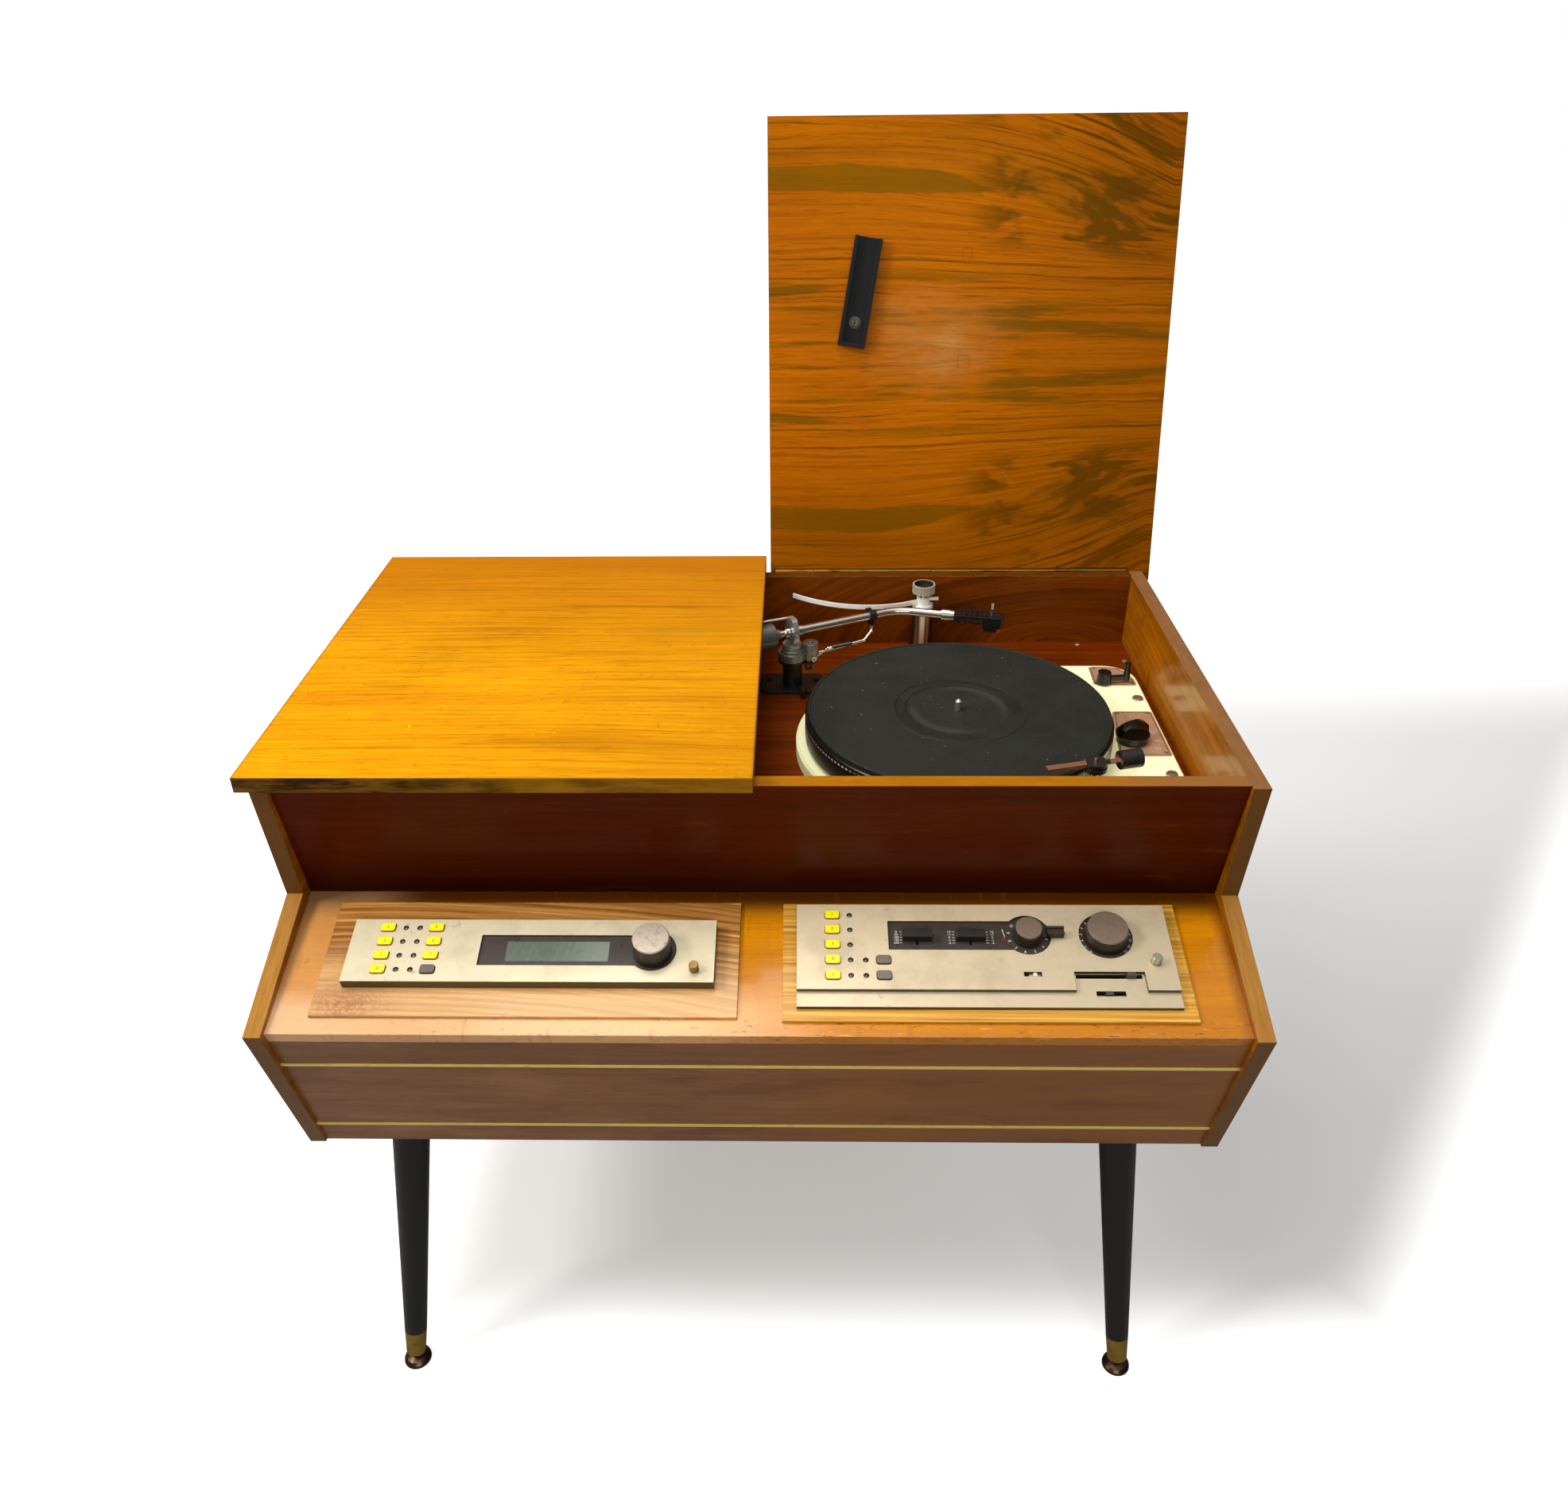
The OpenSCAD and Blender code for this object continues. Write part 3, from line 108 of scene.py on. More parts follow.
class Mat:
    """A material and its node graph. Most methods add nodes and return the socket with the result.

    point and normal are in the space of the object, so that a mask stays in place when a joint moves.
    base is the colour so far: cover and tint lay another over it, and done hands it to the surface."""

    def __init__(self, name, rough=0.5, metal=0.0, spec=0.5, coat=0.0, coat_rough=0.12):
        self.material = bpy.data.materials.new(name)
        self.material.use_nodes = True
        self.tree = self.material.node_tree
        self.tree.nodes.clear()
        output = new_node(self.tree, "OutputMaterial")
        self.surface = new_node(self.tree, "BsdfPrincipled")
        self.tree.links.new(self.surface.outputs[0], output.inputs[0])
        self.set(rough=rough, metal=metal, spec=spec, coat=coat, coat_rough=coat_rough)
        coords = new_node(self.tree, "TexCoord")
        self.point = coords.outputs["Object"]
        self.normal = coords.outputs["Normal"]
        self.geometry = new_node(self.tree, "NewGeometry")

    def fill(self, socket, value):
        if isinstance(value, bpy.types.NodeSocket):
            self.tree.links.new(value, socket)
        else:
            socket.default_value = srgb(value)

    def node(self, kind, inputs=None, out=0, **props):
        node = new_node(self.tree, kind)
        for key, value in props.items():
            setattr(node, key, value)
        for key, value in (inputs or {}).items():
            self.fill(node.inputs[key], value)
        return node.outputs[out]

    def math(self, op, a, b=0.0, c=0.0, clamp=False):
        return self.node("Math", {0: a, 1: b, 2: c}, operation=op, use_clamp=clamp)

    def mul(self, a, b):
        return self.math("MULTIPLY", a, b)

    def add(self, a, b):
        return self.math("ADD", a, b)

    def sub(self, a, b):
        return self.math("SUBTRACT", a, b)

    def mul_add(self, a, b, c):
        return self.math("MULTIPLY_ADD", a, b, c)

    def larger(self, a, b):
        return self.math("MAXIMUM", a, b)

    def size(self, a):
        return self.math("ABSOLUTE", a)

    def gap(self, a, b):
        return self.size(self.sub(a, b))

    def flip(self, a):
        return self.sub(1.0, a)

    def radius(self, a, b):
        return self.math("SQRT", self.add(self.mul(a, a), self.mul(b, b)))

    def vector_math(self, op, a, b=(0, 0, 0), out=0):
        return self.node("VectorMath", {0: a, 1: b}, out=out, operation=op)

    def dot(self, a, b):
        return self.vector_math("DOT_PRODUCT", a, b, out=1)

    def length(self, a):
        return self.vector_math("LENGTH", a, out=1)

    def between(self, a, b):
        return self.vector_math("SUBTRACT", a, b)

    def remap(self, value, a, b, c=0.0, d=1.0):
        return self.node("MapRange", {0: value, 1: a, 2: b, 3: c, 4: d})

    def uneven(self, noise, low, high):
        """A value between low and high that follows the noise, whose own values lie mostly in 0.3 to 0.7."""
        return self.remap(noise, 0.3, 0.7, low, high)

    def smooth(self, value, a, b):
        """Rises from 0 at a to 1 at b."""
        return self.node("MapRange", {0: value, 1: a, 2: b}, interpolation_type="SMOOTHSTEP")

    def fall(self, value, a, b):
        """Falls from 1 at a to 0 at b."""
        return self.flip(self.smooth(value, a, b))

    def within(self, value, a, b, c, d):
        """Rises from a to b and falls again from c to d."""
        return self.mul(self.smooth(value, a, b), self.fall(value, c, d))

    def mix(self, factor, a, b, blend="MIX"):
        return self.node("Mix", {0: factor, 6: a, 7: b}, out=2, data_type="RGBA", blend_type=blend)

    def cover(self, mask, color):
        self.base = self.mix(mask, self.base, color)

    def tint(self, mask, amount, color):
        self.cover(self.mul(mask, amount), color)

    def xyz(self, vector):
        node = new_node(self.tree, "SeparateXYZ")
        self.tree.links.new(vector, node.inputs[0])
        return node.outputs[0], node.outputs[1], node.outputs[2]

    def join(self, x, y, z):
        return self.node("CombineXYZ", {0: x, 1: y, 2: z})

    def noise(self, scale, detail=2.0, rough=0.5, dist=0.0, at=None):
        return self.node("TexNoise", {"Vector": at or self.point, "Scale": scale, "Detail": detail,
                                                "Roughness": rough, "Distortion": dist})

    def grain(self, stretch, detail=2.0, rough=0.5, dist=0.0, scale=1.0):
        """Noise over the object, with its own scale along each axis."""
        return self.noise(scale, detail, rough, dist, self.vector_math("MULTIPLY", self.point, stretch))

    def spots(self, a, b, *pattern, scale=1.0):
        """The parts of a grain pattern over a, full from b."""
        return self.smooth(self.grain(*pattern, scale=scale), a, b)

    def figure(self, u, v, layer, scales, detail=2.0, rough=0.5, dist=0.0):
        """Noise over two coordinates, each with its own scale. layer picks one of many patterns."""
        spot = self.join(self.mul(u, scales[0]), self.mul(v, scales[1]), layer)
        return self.noise(1.0, detail, rough, dist, spot)

    def ramp(self, factor, stops):
        node = new_node(self.tree, "ValToRGB")
        set_stops(node, stops)
        self.tree.links.new(factor, node.inputs[0])
        return node.outputs[0]

    def edge(self, radius=0.0004, lo=0.02, hi=0.25):
        """The normal bevel at the edges, and a mask that is 1 on them."""
        bevel = self.node("Bevel", {0: radius}, samples=4)
        same = self.dot(bevel, self.geometry.outputs["Normal"])
        return bevel, self.smooth(self.flip(same), lo, hi)

    def bump(self, height, strength, distance, normal=None):
        inputs = {"Height": height, "Strength": strength, "Distance": distance}
        if normal is not None:
            inputs["Normal"] = normal
        return self.node("Bump", inputs)

    def set(self, **values):
        names = {"color": "Base Color", "rough": "Roughness", "metal": "Metallic", "normal": "Normal",
                 "spec": "Specular IOR Level", "spec_tint": "Specular Tint", "coat": "Coat Weight",
                 "coat_rough": "Coat Roughness", "coat_normal": "Coat Normal", "emit": "Emission Color",
                 "emit_strength": "Emission Strength"}
        for key, value in values.items():
            self.fill(self.surface.inputs[names[key]], value)

    def done(self, **values):
        self.set(color=self.base, **values)
        return self.material


def set_stops(node, stops):
    elements = node.color_ramp.elements
    while len(elements) < len(stops):
        elements.new(0.5)
    for element, (position, color) in zip(elements, stops):
        element.position = position
        element.color = srgb(color)


def give(material, *names):
    """Puts the material on CAD nodes in place of their own."""
    for name in names:
        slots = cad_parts[name].data.materials
        slots.clear()
        slots.append(material)


# -------- the general materials
# Bare numbers in the masks and patterns from here on are tuned looks: where a mask starts and ends,
# the scale and detail of a pattern, and how strongly a colour is laid on.
# how dark the fine lines of the book-matched lid are, from the match line outwards
LINE_STRENGTH = ((0.0, 0.35), (0.16, 0.25), (0.23, 0.9), (0.35, 0.75), (0.42, 0.22), (0.76, 0.22),
                 (0.84, 0.8), (1.0, 0.95))
LINED_DEPTH = 0.25       # the distance which that list spans
TONGUE_ROW, TONGUE_HALF = 0.170, 0.014      # its distance from the match line and half its width


def matched(g, x, apart, along):
    """The figure of the book-matched lid: fine dark lines, an olive tongue and smoky patches.

    apart is the distance from the match line and along the place on the grain."""
    ripple = g.sub(g.figure(along, apart, 9.0, (7.0, 30.0), 2), 0.5)
    wavy = g.mul_add(ripple, 0.012, apart)
    lines = g.smooth(g.figure(along, wavy, 4.0, (3.0, 250.0), 4, 0.65), 0.49, 0.68)
    amount = g.ramp(g.mul(apart, 1 / LINED_DEPTH), [(p, grey(value)) for p, value in LINE_STRENGTH])
    g.tint(lines, amount, "3c2800")
    wide = g.mul(g.math("SQRT", g.fall(x, 0.13, 0.25)), TONGUE_HALF)
    wobble = g.mul(g.sub(g.grain((14, 14, 30), 3), 0.5), 0.012)
    off = g.size(g.add(g.sub(apart, TONGUE_ROW), wobble))
    g.tint(g.smooth(g.sub(wide, off), 0.0, 0.003), 0.75, "765200")
    smoke = g.smooth(g.figure(x, apart, 2.0, (9.0, 22.0), 4, 0.6, 0.6), 0.46, 0.56)
    zone = g.mul(g.smooth(x, 0.2, 0.27), g.smooth(apart, 0.09, 0.14))
    g.tint(g.mul(smoke, zone), 0.85, "5c3e00")
    band = g.smooth(g.figure(x, apart, 6.0, (5.0, 55.0), 3, 0.6), 0.5, 0.62)
    g.tint(g.mul(band, g.fall(apart, 0.06, 0.1)), 0.75, "704e00")


def wood(name, along, across, pal, pitch=0.014, warp=0.05, fine_warp=0.008, rings=0.5, streaks=0.5, bands=0.4,
         band_col=None, rough=(0.25, 0.4), coat=0.2, spec=0.25, wear=None, edge_r=0.0012, seed=0.0, fold=None,
         over=None, scratch=0.12, third=0.4, blotch=0.3, centre=None, dash=0.3, tint=(1, 0.72, 0.3, 1),
         droop=None):
    """Lacquered veneer. along and across name the axes of the grain; pal is (dark, mid, light).

    fold is the match line of a book-matched board, centre the eye of a cathedral figure and droop how the
    grain falls away. over(g, point) paints what only this board has."""
    g = Mat(name, coat=coat, spec=spec, coat_rough=0.1)
    g.set(spec_tint=tint)
    point = g.xyz(g.point)
    axes = dict(zip("XYZ", point))
    u = axes.pop(along)
    v = axes.pop(across)
    w = axes.popitem()[1]
    v = g.mul_add(w, third, v)
    if fold is not None:
        v = g.gap(v, fold)
    if droop:
        # more so far from the match line
        start, length, drop = droop
        far = g.math("POWER", g.math("DIVIDE", g.sub(u, start), length, clamp=True), 3.0)
        v = g.mul_add(g.mul(far, g.smooth(v, 0.06, 0.16)), drop, v)
    if centre:
        # the rings bow round a point on the board
        centre_u, centre_v, bow = centre
        v = g.radius(g.mul(g.sub(u, centre_u), bow), g.sub(v, centre_v))
    u = g.add(u, seed)
    broad_wave = g.sub(g.figure(u, v, seed, (1.5, 3.0), 2), 0.5)
    fine_wave = g.sub(g.figure(u, v, seed, (5.0, 16.0), 3), 0.5)
    v = g.mul_add(fine_wave, fine_warp, g.mul_add(broad_wave, warp, v))
    uneven = g.noise(1.0, 2, at=g.join(0.0, g.mul(v, 30.0), seed))
    year = g.math("FRACT", g.mul_add(uneven, 3.0, g.mul(v, 1.0 / pitch)))
    ring = g.within(year, 0.25, 0.9, 0.93, 1.0)
    strong = g.remap(g.figure(u, v, seed, (0.8, 24.0), 2), 0.35, 0.65)
    streak = g.figure(u, v, seed, (5.0, 240.0), 4, 0.62)
    fibre = g.figure(u, v, seed, (26.0, 1500.0), 2)
    pores = g.smooth(g.figure(u, v, seed, (70.0, 2600.0), 1), 0.62, 0.72)
    tone = g.mul_add(g.sub(streak, 0.5), 1.6 * streaks, g.mul_add(fibre, 0.3, 0.35))
    g.base = g.ramp(tone, list(zip((0.1, 0.5, 0.9), pal)))
    g.tint(g.mul(ring, strong), rings, pal[0])
    broad = g.smooth(g.figure(u, v, seed + 3.0, (1.1, 13.0), 3, 0.55), 0.48, 0.68)
    g.tint(broad, bands, band_col or pal[0])
    g.tint(pores, 0.3, brighter(pal[0], 0.3))
    dashes = g.smooth(g.figure(u, v, seed + 7.0, (34.0, 640.0), 2), 0.56, 0.74)
    g.tint(dashes, dash, pal[0])
    if fold is not None:
        matched(g, point[0], v, u)
    cloud = g.ramp(g.grain((4, 4, 4), 3, 0.6), [(0.3, (0.62, 0.6, 0.56, 1)), (0.7, (1.2, 1.18, 1.1, 1))])
    g.base = g.mix(blotch, g.base, cloud, "MULTIPLY")
    bevel, edge = g.edge(edge_r)
    if wear:
        g.tint(edge, g.spots(0.4, 0.6, (70, 70, 70), 4, 0.7), wear)
    line = g.fall(g.gap(g.grain((9, 9, 9), 2, 0.5, 2.5), 0.5), 0.0, 0.003)
    line = g.mul(line, g.spots(0.56, 0.64, (14, 14, 14), 2, scale=1.3))
    g.tint(line, scratch, brighter(pal[2], 2.0))
    if over:
        over(g, point)
    smudge = g.grain((8, 8, 8), 4, 0.65)
    return g.done(rough=g.remap(smudge, 0.3, 0.75, *rough), coat_normal=bevel,
                  normal=g.bump(g.mul_add(pores, -0.6, streak), 0.1, 0.0003, bevel))


def metal(name, col, rough=0.3, metallic=1.0, grime=0.25, dark=(0.05, 0.04, 0.03, 1), bright=None, coat=0.0,
          spots=0.0):
    """Used metal with grime in soft patches. spots adds dark spots and bright adds rubbed edges."""
    g = Mat(name, metal=metallic, coat=coat)
    bevel, edge = g.edge()
    patches = g.noise(45, 4, 0.65)
    fine = g.noise(420, 3, 0.6)
    g.base = g.mix(g.mul(g.smooth(patches, 0.5, 0.75), grime), col, dark)
    g.base = g.mix(0.12, g.base, g.ramp(fine, [(0.3, grey(0.6)), (0.7, grey(1))]), "MULTIPLY")
    if spots:
        g.tint(g.smooth(g.noise(900, 1), 0.68, 0.78), spots, dark)
    if bright:
        g.tint(edge, 0.8, bright)
    return g.done(rough=g.remap(patches, 0.3, 0.75, rough * 0.8, min(1, rough * 1.5)),
                  normal=g.bump(fine, 0.08, 0.0002, bevel))


def plastic(name, col, rough=0.45, edge_col=None, speck=0.3, coat=0.0, bumpy=0.15, edge_r=0.0004, dust=0.1):
    """Plastic, lacquer or ink, a little uneven and dusty."""
    g = Mat(name, coat=coat)
    bevel, edge = g.edge(edge_r)
    patches = g.noise(60, 3, 0.6)
    fine = g.noise(900, 2)
    g.base = g.mix(g.mul(patches, speck), col, brighter(col, 1.8, 0.006))
    if edge_col:
        g.cover(edge, edge_col)
    dusty = g.smooth(g.noise(300, 4, 0.8), 0.62, 0.8)
    g.tint(dusty, dust, (0.45, 0.42, 0.38, 1))
    return g.done(rough=g.uneven(patches, rough * 0.8, min(1, rough * 1.3)),
                  normal=g.bump(fine, bumpy, 0.0002, bevel))


# -------- woods
# the masks below are laid out in metres, in this frame
LEFT_LID_MIDDLE = -0.2198
MATCH_ROW = 0.893
# centre of the painted reflection on the right lid's face
REFLECTION_X, REFLECTION_Z = 0.19, 0.905
# centre x, centre z and half size of the two square marks in the right lid's veneer
SQUARE_MARKS = ((0.2159, 0.886, 0.0062), (0.2159, 0.9935, 0.005))
MARK_LINE = (0.0001, 0.0005)
KNOT_X, KNOT_Y = -0.352, -0.318


def lid_left_over(g, point):
    x, y = point[:2]
    facing = g.xyz(g.normal)[2]
    top = g.smooth(facing, 0.5, 0.9)
    under = g.smooth(g.mul(facing, -1.0), 0.5, 0.9)
    sides = g.mix(g.spots(0.35, 0.65, (20, 60, 160), 4, 0.7), "2c1a04", "704c1a")
    g.base = g.mix(g.larger(top, under), sides, g.base)
    g.tint(under, 0.5, "ac5c02")
    rim = g.mul(top, g.smooth(g.gap(x, LEFT_LID_MIDDLE), 0.2145, 0.2178))
    g.tint(rim, 0.5, "784a0a")
    g.tint(g.smooth(x, -0.25, -0.01), 0.3, "ce8a0e")
    # painted shade: the top of the lid darkens towards the back
    g.tint(g.smooth(y, -0.05, 0.25), g.mul(top, 0.7), "b06404")
    dark = g.smooth(g.figure(x, y, 8.0, (2.2, 34.0), 4, 0.6), 0.55, 0.72)
    g.tint(dark, g.mul_add(g.smooth(y, 0.0, 0.2), 0.5, 0.22), "704200")
    olive = g.spots(0.55, 0.75, (5, 26, 5), 4, 0.65)
    g.tint(olive, 0.5, "b28002")
    corner = g.mul(g.smooth(x, -0.28, 0.0), g.fall(y, -0.32, -0.18))
    g.tint(corner, 0.4, "aa780a")
    fleck = g.spots(0.66, 0.7, (220, 60, 10), 3, 0.6)
    g.tint(fleck, g.mul(top, 0.3), "96540a")


def lid_right_over(g, point):
    x, _, z = point
    facing = g.xyz(g.normal)[1]
    face = g.smooth(g.mul(facing, -1.0), 0.5, 0.9)
    sides = g.mix(g.spots(0.35, 0.65, (20, 60, 60), 4, 0.7), "301e08", "62441c")
    outer = g.mix(g.remap(g.grain((3, 3, 24), 4, 0.6), 0.3, 0.7, 0.3, 0.6), g.base, "e2960a")
    g.base = g.mix(face, g.mix(g.smooth(facing, 0.4, 0.9), sides, outer), g.base)
    # painted reflection: a pale patch in the middle of the face, fading out from its centre
    reflection_reach = g.length(g.join(g.mul(g.sub(x, REFLECTION_X), 0.75), 0.0, g.sub(z, REFLECTION_Z)))
    reflection_reach = g.mul_add(g.grain((16, 16, 26), 4, 0.6), 0.09, reflection_reach)
    dull = g.mul(g.fall(reflection_reach, 0.03, 0.12), g.remap(g.grain((30, 30, 90), 4, 0.7), 0.3, 0.7, 0.08, 0.3))
    g.tint(dull, face, "e2ba78")
    g.tint(g.smooth(x, 0.2, 0.44), 0.3, "603200")
    g.tint(g.fall(z, 0.66, 0.86), 0.35, "602e00")
    for mark_x, mark_z, half in SQUARE_MARKS:
        off = g.gap(g.larger(g.gap(x, mark_x), g.gap(z, mark_z)), half)
        g.tint(g.mul(face, g.fall(off, *MARK_LINE)), 0.5, "462606")


def fascia_over(g, point):
    x, _, z = point
    top = g.smooth(g.xyz(g.normal)[2], 0.6, 0.9)
    rail = g.mix(g.grain((30, 200, 200), 4, 0.7), "884e02", "be7a10")
    rail = g.mix(g.mul(g.smooth(x, 0.26, 0.36), 0.7), rail, "8c6038")
    # painted shade: darker towards the foot of the fascia
    g.tint(g.fall(z, 0.53, 0.6), 0.8, "280500")
    g.tint(g.spots(0.62, 0.72, (8, 8, 60), 4, 0.7), 0.25, "784210")
    g.cover(top, rail)


def well_over(g, _):
    top = g.smooth(g.xyz(g.normal)[2], 0.6, 0.9)
    g.cover(top, g.mix(g.noise(60, 4, 0.7), "462002", "703e0c"))


def desk_over(g, point):
    x, y = point[:2]
    nick = g.spots(0.6, 0.66, (90, 260, 260), 3, 0.8)
    front = g.fall(y, -0.336, -0.318)
    g.tint(nick, g.mul_add(front, 0.8, 0.06), "3e1c0a")
    # painted shade: the back strip of the desk lies dark under the overhanging fascia
    g.tint(g.smooth(y, -0.236, -0.207), 0.94, "3a0f00")
    g.tint(g.smooth(g.size(x), 0.400, 0.4125), 0.6, "6e3404")
    # painted sheen: the left end of the desk is paler
    g.tint(g.fall(x, -0.37, -0.3), 0.45, "c49668")
    # painted highlight: the reflection of the light overhead near the front of the desk
    painted_highlight = g.mul(g.fall(y, -0.325, -0.296), g.fall(x, -0.1, 0.08))
    g.tint(painted_highlight, 0.34, "ffdebe")
    front_right = g.mul(g.fall(y, -0.325, -0.3), g.smooth(x, -0.04, 0.1))
    g.tint(front_right, 0.35, "aa620a")
    cross = g.spots(0.6, 0.75, (160, 24, 24), 3, 0.6)
    g.tint(cross, 0.3, "8c4c04")
    pale = g.spots(0.68, 0.72, (40, 300, 300), 2, scale=1.4)
    g.tint(pale, g.mul(front, 0.4), "f4c88c")


def lower_over(g, point):
    right_part = g.smooth(point[0], -0.05, 0.1)
    wide = g.grain((6, 6, 26), 4, 0.6)
    g.tint(right_part, 0.6, "8a501a")
    dull = g.mix(right_part, "b0805c", "a06428")
    g.tint(g.smooth(wide, 0.5, 0.66), 0.35, dull)
    g.tint(g.fall(wide, 0.36, 0.46), 0.4, "60361e")


def side_over(g, point):
    facing_x, _, facing_z = g.xyz(g.normal)
    edge_face = g.fall(g.size(facing_x), 0.4, 0.8)
    strip = g.mix(g.grain((300, 22, 22), 4, 0.7), "80521e", "c48e42")
    dusty = g.mix(g.grain((90, 30, 30), 4, 0.7), "784e28", "9e724a")
    # painted shade: the edge faces that look downward are darker
    strip = g.mix(g.mul(g.fall(facing_z, 0.1, 0.5), 0.8), strip, "4e2e12")
    strip = g.mix(g.mul(g.smooth(point[2], 0.6, 0.61), g.smooth(facing_z, 0.6, 0.9)), strip, dusty)
    mottle = g.spots(0.4, 0.7, (12, 16, 40), 4, 0.65)
    g.tint(mottle, 0.4, "784a06")
    g.tint(edge_face, 0.95, strip)


def plates_over(g, point):
    """The left plate has a knot and a painted reflection towards its front, the right one is straight and
    golden.
    """
    x, y = point[:2]
    straight = g.grain((5, 330, 330), 3, 0.6)
    gold = g.ramp(straight, [(0.34, "b07624"), (0.5, "d49a38"), (0.66, "e8b454")])
    lines = g.spots(0.58, 0.7, (4, 120, 120), 3, 0.6)
    gold = g.mix(g.mul(lines, 0.55), gold, "965c18")
    # painted reflection: the left plate turns paler towards its front
    g.tint(g.fall(y, -0.31, -0.24), 0.32, "fcd6a0")
    knot = g.length(g.join(g.sub(x, KNOT_X), g.mul(g.sub(y, KNOT_Y), 1.8), 0.0))
    swirl = g.mul_add(g.grain((45, 45, 45), 4, 0.7), 0.06, knot)
    swirl = g.mul_add(g.grain((160, 160, 160), 3, 0.7), 0.012, swirl)
    wave = g.remap(g.math("SINE", g.mul(swirl, 760.0)), -1.0, 1.0)
    g.tint(g.fall(knot, 0.004, 0.055), g.mul_add(wave, 0.4, 0.22), "8c4834")
    g.cover(g.smooth(x, -0.001, 0.001), gold)


give(wood("lid_left_veneer", "X", "Y", ("a45c00", "e69a00", "fab202"), pitch=0.03,
          fine_warp=0.006, rings=0.14, streaks=0.75, bands=0.5, band_col="c47400", rough=(0.3, 0.42),
          coat=0.03, spec=0.1, wear="f0be5a", over=lid_left_over, seed=3.0, scratch=0.4, blotch=0.5,
          dash=0.75), "lid_left")
give(wood("lid_right_veneer", "X", "Z", ("6c3800", "be6700", "d47c02"), pitch=0.02,
          warp=0.03, rings=0.2, streaks=0.45, bands=0.3, band_col="805402", rough=(0.26, 0.4),
          coat=0.0, spec=0.06, wear="5a380e", over=lid_right_over, seed=1.7, fold=MATCH_ROW,
          third=0.0, blotch=0.42, dash=0.45, droop=(0.0, 0.43, 0.07)), "lid_right")
give(wood("upper_fascia_veneer", "X", "Z", ("2c0a00", "541800", "622201"), pitch=0.03,
          warp=0.03, rings=0.2, streaks=0.35, bands=0.3, rough=(0.3, 0.42), coat=0.04, spec=0.1,
          wear="b06820", seed=5.1, over=fascia_over), "upper_fascia")
give(wood("rear_wall_veneer", "X", "Z", ("301001", "763604", "964e08"), pitch=0.022,
          warp=0.12, fine_warp=0.015, rough=(0.28, 0.42), coat=0.03, spec=0.12, centre=(0.34, 0.66, 0.35),
          wear="be965a", seed=8.3, over=well_over), "rear_wall")
give(wood("motor_board_veneer", "X", "Y", ("3a1201", "7a3004", "924008"), pitch=0.02,
          warp=0.06, rough=(0.3, 0.5), coat=0.03, spec=0.12, seed=2.2), "motor_board")
give(wood("desk_veneer", "X", "Y", ("a85e00", "da8a02", "ec9e08"), pitch=0.034,
          rings=0.18, streaks=0.35, rough=(0.2, 0.32), coat=0.3, spec=0.4, tint=(1, 0.85, 0.6, 1),
          wear="fad6a0", edge_r=0.0018, seed=4.4, over=desk_over, scratch=0.3), "control_desk")
give(wood("lower_fascia_veneer", "X", "Z", ("56361e", "8c5c3a", "9c6a46"),
          pitch=0.03, rings=0.22, streaks=0.35, bands=0.3, rough=(0.3, 0.44), spec=0.35,
          wear="aa7446", seed=6.6, over=lower_over), "lower_fascia")
give(wood("side_panel_veneer", "Y", "Z", ("683202", "b0680c", "ce8a1c"),
          pitch=0.024, warp=0.07, rings=0.35, bands=0.35, rough=(0.16, 0.3), coat=0.1, spec=0.2,
          wear="c89650", seed=7.7, over=side_over), "side_panel_left", "side_panel_right")
give(wood("plate_veneer", "X", "Y", ("683610", "c4863e", "eeb86c"),
          pitch=0.007, warp=0.06, rings=0.9, streaks=0.8, bands=0.3, rough=(0.24, 0.38), spec=0.35,
          tint=(1, 0.9, 0.7, 1), seed=9.9, over=plates_over, wear="3c1e0e",
          centre=(-0.37, -0.285, 0.3)), "unit_surrounds")
give(wood("board_back", "X", "Z", ("967046", "be9664", "ceaa78"), rings=0.2,
          streaks=0.3, bands=0.2, rough=(0.6, 0.8), coat=0.0, seed=0.6, scratch=0.0),
     "base_board", "back_panel")

# -------- plain metals and plastics
give(plastic("leg_lacquer", "050605", 0.34, speck=0.4, bumpy=0.06, dust=0.05, edge_r=0.001), "legs")
give(metal("strip_brass", "f6dc7a", 0.35, metallic=0.2, grime=0.2, dark="6e4818",
           bright="ffec96"), "brass_strips")
give(metal("ferrule_brass", "967a2c", 0.42, metallic=0.6, grime=0.6, dark="463210",
           spots=0.4), "leg_ferrules")
give(metal("glide_bronze", "584436", 0.32, grime=0.6, dark="221812"), "leg_glides")
give(metal("hinge_brass", "8c642c", grime=0.6, dark="34200c"),
     "hinge_frame_leaves", "hinge_leaf_left", "hinge_leaf_right")
give(metal("case_steel", "787670", 0.45, grime=0.2), "unit_cases")
give(plastic("slider_black", "141212", 0.4, edge_col="46423e"), "bass_slider", "tilt_slider")
give(plastic("slider_grey", "3c3834", edge_col="6e6860"), "balance_slider", "trim_slider")
give(plastic("slider_white", "d6d0c4"), "mute_slider")
give(metal("tuner_button", "96763a", 0.35, metallic=0.6, grime=0.5, dark="3c2810"),
     "tuner_power_button")
give(metal("amp_button", "beb8aa", grime=0.3), "preamp_power_button")
give(metal("motor_grey", "46484a", 0.5, metallic=0.3, grime=0.4), "drive_motor")
give(metal("pulley_brass", "be9650", 0.25), "motor_pulley")
give(plastic("idler_rubber", "1c1a1a", 0.7, bumpy=0.3), "idler_wheel")
give(plastic("bakelite", "060505", 0.14, speck=0.15, coat=0.4, bumpy=0.01, dust=0.03), "speed_knob")
give(plastic("lever_bakelite", "050404", 0.3, speck=0.15, coat=0.05, bumpy=0.02, dust=0.02),
     "start_lever")
